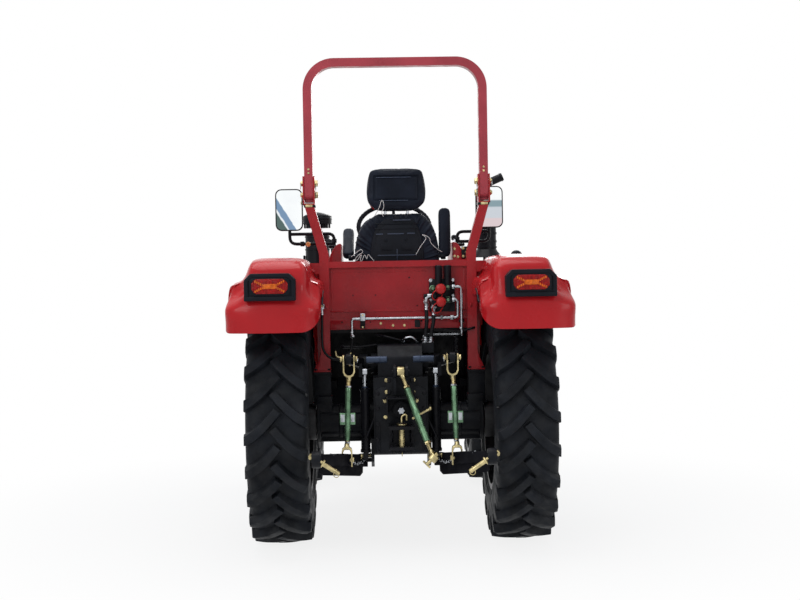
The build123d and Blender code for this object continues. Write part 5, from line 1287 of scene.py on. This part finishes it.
def soft_parts():
    """The seat's cushions: seams across the middle panel, gathers round the back's edge."""
    inset = [(x * 0.965, 1216 + (z - 1212) * 0.985) for x, z in BACK_OUTLINE]

    def back_dents(spot, normal):
        level = (spot.z - 1212) / 560
        edge = max(abs(spot.x) / 248, level * 0.98)
        move = 0.0
        if normal.y < -0.2 and edge > 0.58:
            angle = math.atan2(spot.z - 1450, spot.x)
            fade = min(1, (edge - 0.58) / 0.10)
            uneven = 1 + 0.6 * math.sin(angle * 7 + 2 * math.sin(angle * 3))
            move += fade * uneven * (2.4 * math.sin(angle * 41 + 3 * math.sin(angle * 5))
                                     + 1.4 * math.sin(angle * 73 + 1))
        if normal.y > 0.3:
            move += groove(abs(spot.x) - 120, 7, 9)
            for z in (1330, 1420, 1510, 1600, 1680):
                if abs(spot.x) < 124:
                    move += groove(spot.z - z, 7, 7)
            if abs(spot.x) >= 124:
                move += 7 * math.exp(-((abs(spot.x) - 175) / 40) ** 2)
        return move

    back = leaned(prism(inset, "y", 108, 176, 14, 3))
    puffed("seat_back_pad", back, "seat_vinyl", ("seat_back",), back_dents)

    def cushion_dents(spot, normal):
        move = 0.0
        if normal.z > 0.3:
            move += groove(abs(spot.x) - 125, 7, 9)
            for y in (250, 330, 410, 490):
                if abs(spot.x) < 128:
                    move += groove(spot.y - y, 7, 7)
        if abs(normal.z) < 0.5:
            move += groove(spot.z - 1285, 4, 4)
        return move

    outline = rounded(212, 184, 46, (0, 375))
    puffed("seat_cushion_pad", prism(outline, "z", 1218, 1300, 16, 3), "seat_vinyl", ("seat_cushion",),
           cushion_dents)

    def head_dents(spot, normal):
        move = 0.0
        if normal.y < -0.35:
            frame_x, frame_z = abs(spot.x) - 118, abs(spot.z - 1868) - 64
            edge = max(frame_x, frame_z)
            if edge < 4:
                move += groove(edge, 5, 6) - 2.0
            if edge < -12:
                move += 1.2
        if abs(normal.y) < 0.6:
            move += groove(spot.y - 74, 4, 4)
        return move

    head = [(-106, 1750), (106, 1750), (152, 1790), (158, 1822), (151, 1895), (142, 1960), (118, 1971),
            (-118, 1971), (-142, 1960), (-151, 1895), (-158, 1822), (-152, 1790)]
    puffed("headrest_pad", prism(head, "y", 48, 118, 16, 3), "seat_vinyl", ("headrest",), head_dents,
           voxel=0.005, cap=0.004, pressure=1.5)

    def arm_dents(spot, _):
        """A seam round the right armrest only."""
        return groove(spot.y - 104, 4, 3) if spot.x > 0 else 0.0

    right = prism(rounded(31, 132, 24, (258, 1629)), "y", 84, 124, 8, 3)
    post = box((205, 262), (88, 104), (1492, 1514), 4)
    puffed("armrest_pads", merged(right, left_armrest()), "seat_vinyl", ("armrests",), arm_dents,
           voxel=0.005, cap=0.006)
    foot = box((-262, -200), (88, 104), (1490, 1512), 4)
    pivots = [lathe([(14, 0), (16, 3), (16, 22), (13, 26), (0, 26)], (s * 236, 96, 1500), s * X, 28)
              for s in (-1, 1)]
    piece("armrest_brackets", [post, foot, *pivots], "black_plastic")


def left_armrest():
    """Armrest part way up, its top face turned to the rear."""
    start, end = Vector((-262, 102, 1508)), Vector((-262, 318, 1652))
    length = (end - start).length
    arm = prism(rounded(29, length / 2, 22, (0, 0)), "y", -19, 19, 8, 3)
    turn = (end - start).to_track_quat("Z", "X").to_matrix().to_4x4()
    flat = Matrix.Rotation(pi / 2, 4, "Z")
    return moved(arm, Matrix.Translation((start + end) / 2) @ turn @ flat)


def seat_shell():
    """Moulded back shell, the suspension base with its bellows, and the headrest's rods."""
    shell_outline = [(x * 0.58, 1236 + (z - 1212) * 0.88) for x, z in BACK_OUTLINE]
    parts = [prism(shell_outline, "y", 88, 106, 7, 3),
             prism([(x * 0.88, 1475 + (z - 1475) * 0.88) for x, z in shell_outline], "y", 83, 90, 3, 2)]
    # Strips in a lighter blue-grey finish: painted highlights along the shell's ribs and the headrest's
    # piping.
    highlight_ribs = [box((x0, x1), (78, 86), (z - 3, z + 3), 2)
            for x0, x1, z in ((-112, -74, 1626), (-50, 38, 1627), (54, 96, 1628), (-20, 76, 1700),
                              (-105, 105, 1512))]
    parts += [box((-118, 118), (80, 86), around(z, 3), 2) for z in (1655, 1682)]
    highlight_ribs.append(box((-2, 2), (79, 86), (1484, 1546), 1))
    for x in (-56, 56):
        parts += [prism(rounded(30, 17, 6, (x, 1554)), "y", 79, 86, 2, 2),
                  prism(rounded(22, 10, 4, (x, 1554)), "y", 77, 80, 1, 1)]
    parts += [lathe([(7, 0), (8, 1.5), (6, 5), (0, 6)], (x, 84, z), -Y, 20)
              for x, z in ((-60, 1592), (48, 1596))]
    parts += [box((-120, 120), (80, 86), around(z, 3), 2) for z in range(1260, 1480, 30)]
    parts.append(box((-12, 12), (82, 90), (1690, 1722), 3))
    shell = leaned(merged(*parts))
    highlight_piping = [box((-107, 80), (40, 46), (1924, 1927.5), 1.2), box((-92, 63), (40, 46), (1801, 1804.5), 1.2)]
    piece("seat_highlight_strips", merged(leaned(merged(*highlight_ribs)), *highlight_piping), "seat_painted_highlight")
    base = [box((-210, 210), (112, 528), (1192, 1209), 6, 3), box((-196, 196), (120, 500), (1180, 1193), 4)]
    for z, grow in ((1122, 0), (1137, 6), (1152, 0), (1167, 6)):
        base.append(box((-158 - grow, 158 + grow), (140 - grow, 478 + grow), (z, z + 15), 6, 3))
    base += [lathe([(22, 0), (24, 3), (20, 10), (11, 13)], (x, 74, 1748), Z, 28) for x in (-60, 60)]
    base.append(box((216, 226), (200, 420), (1214, 1262), 4))
    piece("seat_shell", [shell, *base], "black_plastic", replaces=("seat_base",))
    rods = [cyl((x, 74, 1730), (x, 74, 1806), 7.5, n=20, edge=1) for x in (-60, 60)]
    piece("headrest_rods", rods, "bright_steel")
    lever = bent_pipe([(190, 300, 1200), (250, 300, 1200), (262, 330, 1206), (262, 390, 1210)], 6, 14)
    knob = [lathe([(6, 0), (13, 4), (15, 18), (11, 30), (0, 33)], (262, 384, 1210), Y, 28),
            lathe([(20, 0), (22, 3), (22, 14), (18, 18), (0, 18)], (226, 250, 1238), X, 32)]
    piece("seat_levers", [lever, *knob], "black_plastic")


STRINGS = {
    "drawstring_left": [(-250, 84, 1502), (-228, 70, 1520), (-192, 66, 1548), (-180, 66, 1528),
                        (-208, 66, 1516), (-230, 68, 1488), (-218, 67, 1480), (-188, 66, 1526),
                        (-200, 66, 1482), (-190, 66, 1476), (-174, 66, 1524), (-162, 62, 1484),
                        (-158, 56, 1522), (-138, 50, 1497), (-122, 50, 1478)],
    "drawstring_right": [(100, 50, 1510), (116, 50, 1540), (140, 52, 1574), (162, 58, 1600), (128, 50, 1622),
                         (176, 62, 1604), (178, 66, 1578), (192, 66, 1562), (220, 67, 1534), (242, 76, 1524)],
    "drawstring_top": [(-118, 46, 1722), (-92, 42, 1760), (-80, 40, 1806), (-70, 40, 1800), (-66, 42, 1764),
                       (-84, 46, 1738), (-70, 50, 1718)],
}


def strings():
    """White drawstrings that hang loose on the seat's back."""
    for name, route in STRINGS.items():
        line = cord_line(name, route, 1.7, 3, "cord_white")


# ---------------------------------------------------------------- beside and above the seat
MIRRORS = {"left": -593, "right": 526}


def domed(outline, x, z, y):
    """Sheet that stands out by 2.2 mm to the rear at its middle."""
    bm = bmesh.new()
    middle = bm.verts.new((x, y, z))
    rings = [[bm.verts.new((x + (a - x) * share, y + 2.2 * share ** 2, z + (b - z) * share))
              for a, b in outline]
             for share in (0.2, 0.4, 0.6, 0.8, 1.0)]
    count = len(outline)
    for i in range(count):
        bm.faces.new((middle, rings[0][i], rings[0][(i + 1) % count]))
        for low, high in zip(rings, rings[1:]):
            bm.faces.new((low[i], high[i], high[(i + 1) % count], low[(i + 1) % count]))
    bmesh.ops.recalc_face_normals(bm, faces=bm.faces)
    bm.faces.ensure_lookup_table()
    if bm.faces[0].normal.y > 0:
        bmesh.ops.reverse_faces(bm, faces=bm.faces)
    return bm


def mirrors():
    """Mirror heads with a thin rim round domed glass, on bent tubes with clamps."""
    z = 1775
    tubes, shells, clamps = [], [], []
    for side, x in MIRRORS.items():
        sign = -1 if x < 0 else 1
        foot = 345 * sign
        tubes.append(bent_pipe([(foot, 400, 1545), (foot, 400, 1640), (x - 8 * sign, 400, 1640)], 9, 34, 16))
        tubes.append(bent_pipe([(foot, 400, 1585), (x, 400, 1585), (x, 400, 1740)], 9, 40, 16))
        shells.append(prism(rounded(77, 117, 34, (x, z)), "y", 371, 390, 7, 3))
        shells.append(prism(rounded(76.5, 116.5, 34, (x, z)), "y", 368.8, 374, 2, 2))
        shells.append(lathe([(16, 0), (18, 2), (18, 10), (14, 13), (0, 13)], (x, 389, z - 40), Y, 28))
        clamps.append(lathe([(11, -12), (14, -10), (14, 10), (11, 12)], (foot, 400, 1600), Z, 24))
        clamps.append(lathe([(11, -14), (14, -12), (14, 12), (11, 14)], (x, 400, 1700), Z, 24))
        clamps.append(lathe([(11, -12), (14, -10), (14, 10), (11, 12)], (x - 70 * sign, 400, 1585), X, 24))
        piece(f"mirror_glass_{side}", domed(rounded(70, 110, 29, (x, z), 8), x, z, 366.4), "mirror_glass")
    piece("mirror_tubes", tubes, "black_paint", replaces=("mirror_arms",))
    piece("mirror_shells", shells, "mirror_black", replaces=("mirror_heads",))
    piece("mirror_clamps", clamps, "black_paint")


def stack_details():
    """Cap, bands and duct of the air cleaner, the side lamp, and the muffler's bands and dimples."""
    x, y = -475, 1290
    cleaner = [lathe([(92.5, 0), (95, 4), (92, 16), (76, 30), (40, 42), (12, 47), (0, 48)],
                     (x, y, 1752), Z, 48),
               lathe([(60, 0), (93, 3), (93, 8), (60, 10)], (x, y, 1722), Z, 48)]
    cleaner += [lathe([(75.2, 0), (78.5, 1.5), (78.5, 9), (75.2, 11)], (x, y, z), Z, 48)
                for z in (1352, 1440, 1560, 1640)]
    cleaner += [box(around(x + 80 * math.cos(a), 3), around(y + 80 * math.sin(a), 3), (1700, 1724), 1)
                for a in circle(18)]
    cleaner.append(lathe([(30.5, 0), (36, 2), (36, 12), (30.5, 14)], (x, y, 1668), Z, 36))
    cleaner.append(box((x - 90, x - 76), (y - 16, y + 16), (1480, 1530), 3))
    cleaner.append(bent_pipe([(x + 40, y - 60, 1620), (x + 96, y - 70, 1610), (x + 108, y - 40, 1500),
                              (x + 100, y, 1380)], 17, 44, 20, 8))
    piece("air_cleaner_details", cleaner, "black_paint")
    amber = [lathe([(12, 0), (14, 2), (14, 22), (11, 27), (0, 28)], (-490, 395, 1582), -Y, 32)]
    piece("side_lamps", amber, "amber_lamp")
    lamp_back = [lathe([(15, 0), (17, 2), (17, 10), (10, 14), (0, 14)], (-490, 394, 1582), Y, 32)]
    piece("side_lamp_backs", lamp_back, "black_plastic")
    x = 588
    muffler = [lathe([(60, 0), (64, 2), (64, 12), (60, 14)], (x, y, 1556), Z, 48),
               lathe([(60, 0), (64, 2), (64, 12), (60, 14)], (x, y, 1836), Z, 48),
               lathe([(24, 0), (29, 2), (29, 18), (24, 20)], (x, y, 1440), Z, 36)]
    for a in circle(10):
        for z in (1600, 1650, 1700, 1750, 1800):
            spot = Vector((x + 61 * math.cos(a), y + 61 * math.sin(a), z))
            muffler.append(lathe([(9, 0), (8, 1.8), (0, 2.4)], spot, (math.cos(a), math.sin(a), 0), 12))
    muffler.append(lathe([(25.2, 0), (27.5, 1), (27.5, 7), (25.2, 9)], (x + 92, y, 1999.5),
                         (0.92, 0, 0.39), 30))
    piece("muffler_details", muffler, "black_paint")


def console_details():
    """Rounded console tops, levers and their fixings."""
    outer = [(299, 1130), (383, 1130), (383, 1440), (378, 1476), (364, 1512), (345, 1548), (325, 1572),
             (310, 1579), (299, 1576)]
    hump = prism(outer, "y", 118, 562, 10, 4)
    pair("console_covers", [hump], "red_paint", replaces=("consoles",))
    piece("console_plates", merged(box((349, 385), (111, 119), (1486, 1552), 3),
                                   box((-372, -312), (180, 500), (1556, 1572), 5),
                                   box((312, 372), (180, 500), (1556, 1572), 5)), "black_paint")
    bolts = [bolt((x, 111 if x > 340 else 118, z), -Y, 5)
             for x, z in ((312, 1500), (312, 1540), (330, 1496), (358, 1498), (376, 1520), (358, 1542))]
    piece("console_bolts", bolts, "zinc_plate")
    levers, knobs = [], []
    for x, y, lean in ((322, 260, 40), (322, 340, 30), (345, 440, 20)):
        levers.append(sweep([Vector((x, y, 1575)), Vector((x, y + lean * 0.4, 1586)),
                             Vector((x, y + lean, 1600))], 5))
        knobs.append(lathe([(5, 0), (11, 4), (13, 16), (10, 28), (0, 32)], (x, y + lean, 1590), Z, 24))
    piece("hand_levers", levers, "bright_steel")
    piece("hand_lever_knobs", knobs, "black_plastic")
    beacon = lathe([(0, 0), (26, 0), (30, 3), (29, 10), (22, 20), (12, 26), (0, 28)], (640, 60, 1499), Z, 36)
    piece("fender_dome", beacon, "black_plastic")


def seat_area():
    soft_parts()
    seat_shell()
    strings()
    mirrors()
    stack_details()
    console_details()


# ---------------------------------------------------------------- hood, front end, platform
STEP_TOP = 474
FRONT_AXLE_Y = 2000


def mesh_screen(x, z, y, pitch=9.0, wire=1.2):
    """Flat screen of crossed wires between x and z limits, standing across Y."""
    wires = [box(around(x[0] + k * pitch, wire), (y, y + 2), z, 0)
             for k in range(1, int((x[1] - x[0]) / pitch))]
    wires += [box(x, (y - 1.5, y + 0.5), around(z[0] + k * pitch, wire), 0)
              for k in range(1, int((z[1] - z[0]) / pitch))]
    return merged(*wires)


def hood_details():
    """Grille, side louvres, latches and seams of the hood."""
    grille = [mesh_screen((-118, 118), (958, 1214), 2489), box((-118, 118), (2485, 2488), (958, 1214), 0)]
    grille += [box((x, x + 4), (2484, 2494), (954, 1218), 1.5) for x in (-122, 118)]
    grille += [box((-122, 122), (2484, 2494), (z, z + 4), 1.5) for z in (954, 1214)]
    grille += [box((289.5 * side, 292.5 * side), (y, y + 18), (985, 1110), 1.2)
               for side in (-1, 1) for y in range(1560, 2104, 34)]
    piece("hood_grilles", grille, "grille_black", body="hood")
    seams = []
    for side in (-1, 1):
        seams += [box((290 * side, 291.5 * side), (1180, 2380), (1146, 1150), 0.5),
                  lathe([(14, 0), (14, 2), (9, 5), (0, 5)], (290 * side, 2300, 960), side * X, 28)]
    piece("hood_seams", seams, "black_plastic", body="hood")


def lamp_faces():
    """Head lamp rims and their ribbed lenses."""
    rims, lenses = [], []
    for x in (-185, 185):
        rims.append(prism(rounded(62, 42, 14, (x, 1130)), "y", 2476, 2487, 3, 2))
        lenses.append(prism(rounded(54, 35, 11, (x, 1130)), "y", 2480, 2489, 2, 2))
        lenses += [box(around(x + k * 9, 1.2), (2486, 2490.5), (1099, 1161), 0.8) for k in range(-5, 6)]
    piece("headlamp_rims", rims, "black_plastic", body="hood")
    piece("headlamp_lenses", lenses, "lamp_glass", body="hood")


def radiator_details():
    """Radiator core and tanks, and the cooling fan behind them."""
    fins = [box((-205, 205), (2201, 2204), (z, z + 4), 0) for z in range(660, 1140, 12)]
    fins += [box((x, x + 4), (2202, 2205), (655, 1140), 0) for x in range(-200, 240, 40)]
    piece("radiator_core", fins, "black_casting")
    tanks = [box((-222, 222), (2116, 2204), (1132, 1162), 6, 3),
             box((-222, 222), (2116, 2204), (640, 664), 6, 3),
             lathe([(24, 0), (26, 2), (26, 14), (18, 20), (0, 20)], (-60, 2160, 1160), Z, 32)]
    piece("radiator_tanks", tanks, "black_paint")
    hub = Vector((0, 2060, 900))
    twist = Matrix.Rotation(math.radians(28), 4, "X")
    fan = [moved(prism([(40, -30), (190, -52), (196, 34), (44, 20)], "z", -1.5, 1.5, 1),
                 Matrix.Translation(hub) @ Matrix.Rotation(a, 4, "Y") @ twist) for a in circle(7)]
    fan.append(lathe([(48, -24), (52, -20), (52, 20), (40, 30), (0, 30)], hub, Y, 36))
    piece("cooling_fan", fan, "black_plastic")


def engine_details():
    """Rocker covers, oil filter, pulleys, exhaust manifold and hoses of the engine."""
    cast = []
    for y in (1170, 1345, 1520):
        cast.append(box((-72, 72), (y, y + 150), (1150, 1196), 10, 3))
        cast += [bolt((x, y + ahead, 1196), Z, 7) for ahead in (20, 130) for x in (-56, 56)]
    cast.append(box((150, 190), (1180, 1640), (960, 1020), 12, 3))
    cast += [cyl((150, y, 1000), (196, y, 1000), 26, n=24, edge=3) for y in (1230, 1405, 1580)]
    cast += [box((x, x + 2), (y, y + 30), (520, 900), 1) for y in range(1120, 1700, 58) for x in (-152, 150)]
    piece("engine_castings", cast, "black_casting")
    fittings = [lathe([(30, 0), (38, 4), (38, 92), (32, 100), (0, 102)], (-190, 1330, 560), Z, 36),
                lathe([(44, 0), (48, 3), (40, 9), (48, 15), (44, 18)], (0, 1716, 640), Y, 40),
                lathe([(34, 0), (38, 3), (30, 9), (38, 15), (34, 18)], (92, 1716, 800), Y, 40),
                cyl((-190, 1330, 640), (-150, 1330, 640), 16, n=20),
                lathe([(46, 0), (50, 4), (50, 86), (44, 92), (0, 92)], (210, 1560, 760), Y, 36)]
    piece("engine_fittings", fittings, "black_paint")
    routes = [[(110, 1690, 1080), (130, 1800, 1090), (140, 1960, 1086), (150, 2110, 1084)],
              [(-90, 1700, 700), (-110, 1800, 672), (-120, 1960, 668), (-130, 2112, 672)]]
    piece("coolant_hoses", [bent_pipe(route, 19, 50, 20, 8) for route in routes], "hose_rubber")
    clamps = [lathe([(19.5, 0), (21.5, 1), (21.5, 9), (19.5, 10)], point, Y, 28)
              for point in ((110, 1704, 1081), (150, 2094, 1084), (-90, 1712, 697), (-130, 2094, 672))]
    piece("hose_clamps", clamps, "zinc_plate")


def front_axle_details():
    """King pin caps, hub flange bolts and the axle's clamping bolts."""
    for body, side in (("knuckle_left", -1), ("knuckle_right", 1)):
        x, top = 440 * side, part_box(body)[1][2] * 1000
        caps = [lathe([(26, 0), (30, 3), (30, 12), (20, 18), (0, 18)], (x, FRONT_AXLE_Y, top), Z, 32)]
        caps += [bolt((x + 52 * side, FRONT_AXLE_Y + 40 * math.cos(a), 447.5 + 40 * math.sin(a)), side * X, 7)
                 for a in circle(6, 0.3)]
        piece(f"{body}_caps", caps, "black_paint", body=body)
    piece("axle_bolts", [bolt((x, y, 640), Z, 11) for y in (1960, 2040) for x in (-40, 40)], "black_paint")


def front_bracket_details():
    """Bolts of the front bracket and along the frame."""
    piece("front_bracket_bolts",
          [bolt((160 * side, 2500, z), side * X, 11) for side in (-1, 1) for z in (536, 604)],
          "zinc_plate")
    piece("front_frame_bolts", [bolt((160 * side, y, 570), side * X, 10)
                                for side in (-1, 1) for y in range(1760, 2460, 110)], "black_paint")


def floor_details():
    """Ribbed mats on the platform and beside the seat, and tread studs on the steps."""
    mat = []
    for side in (-1, 1):
        inner, outer = sorted((170 * side, 560 * side))
        mat.append(box((inner, outer), (712, 1100), (820, 824), 2))
        mat += [box((inner + 10, outer - 10), (y, y + 11), (823, 827), 1.5) for y in range(726, 1104, 27)]
    mat += [box((x, x + 70), (y, y + 12), (1120, 1123.5), 1.2) for y in range(140, 548, 34)
            for x in (-290, 220)]
    piece("floor_mats", mat, "hose_rubber")
    studs = [lathe([(7, 0), (6, 3), (4, 3.6), (0, 3.6)], (x * side, y, STEP_TOP), Z, 10)
             for side in (-1, 1) for x in range(654, 794, 28) for y in range(815, 1055, 30)]
    piece("step_studs", studs, "black_paint")


def dash_details():
    """Leaning dial panel: its face, three dials with rims, and four switches."""
    tilt = Matrix.Rotation(math.radians(-35), 4, "X")
    face = moved(prism(rounded(138, 62, 24), "z", -2, 6, 3, 2), Matrix.Translation((0, 946, 1440)) @ tilt)
    up = tilt @ Z
    rings, glass = [], []
    for x, r in ((0, 46), (-92, 30), (92, 30)):
        spot = Vector((x, 946, 1440)) + up * 5
        rings.append(lathe([(r - 4, 2), (r - 3, 5), (r, 5), (r + 1, 0)], spot, up, 36))
        glass.append(lathe([(0, 0), (r - 4, 0), (r - 4, 2), (0, 3)], spot, up, 36))
    rings += [lathe([(8, 0), (9, 2), (7, 6), (0, 7)],
                    Vector((x, 940, 1440)) + tilt @ Vector((0, -48, 6)), up, 20)
              for x in (-60, -30, 30, 60)]
    piece("dash_face", [face], "black_plastic")
    piece("dash_rings", rings, "bright_steel")
    piece("dash_dials", glass, "lamp_glass")


WHEEL_PLACE = Matrix.Translation((0, 850, 1690)) @ Matrix.Rotation(math.radians(40), 4, "X")


def rim_skin():
    """Steering wheel's rim with fine knurls outside and two seams."""
    bm = bmesh.new()
    rows = []
    for k, angle in enumerate(circle(96)):
        out = Vector((math.cos(angle), math.sin(angle), 0))
        knurl = 0.8 * math.cos(k * pi) * (1 if abs(out.y) < 0.94 else 0)
        row = []
        for j, t in enumerate(circle(14)):
            r = 13.2 + knurl * (0.5 - 0.5 * math.cos(t + pi)) - (1.2 if j % 7 == 3 else 0)
            row.append(bm.verts.new(out * 211 + out * r * math.cos(t) + Z * r * math.sin(t)))
        rows.append(row)
    skinned(bm, rows + rows[:1])
    return capped(bm)


def steering_details():
    """Steering wheel with its knurled rim, hub and three spokes."""
    hub = [lathe([(0, -34), (30, -34), (34, -30), (46, -8), (44, 4), (34, 10), (0, 13)], (0, 0, -8), Z, 40)]
    for angle in (90, 215, 325):
        out = Vector((math.cos(math.radians(angle)), math.sin(math.radians(angle)), 0))
        hub.append(sweep([out * 30 - 18 * Z, out * 110 - 14 * Z, out * 208 - 2 * Z], [11, 9, 9]))
    piece("steering_wheel_skin", [moved(rim_skin(), WHEEL_PLACE), moved(merged(*hub), WHEEL_PLACE)],
          "dull_black",
          "steering_wheel", ("steering_wheel",))


def spinner_knob():
    """Red turning knob clamped to the steering wheel's rim."""
    a = math.radians(126)
    knob = lathe([(9, 10), (10, 22), (20, 28), (24, 40), (22, 54), (12, 61), (0, 62)],
                 (203 * math.cos(a), 203 * math.sin(a), 0), Z, 32)
    piece("spinner_knob", moved(knob, WHEEL_PLACE), "cap_red", body="steering_wheel")


def front_half():
    spinner_knob()
    hood_details()
    lamp_faces()
    radiator_details()
    engine_details()
    front_axle_details()
    front_bracket_details()
    floor_details()
    dash_details()
    steering_details()


look()
light()
floor()
finishes()
dress_frame()
hoses()
wheels()
fender_details()
tail_lamps()
rollbar_details()
panel_details()
couplers()
pipe_fittings()
linkage()
seat_area()
front_half()
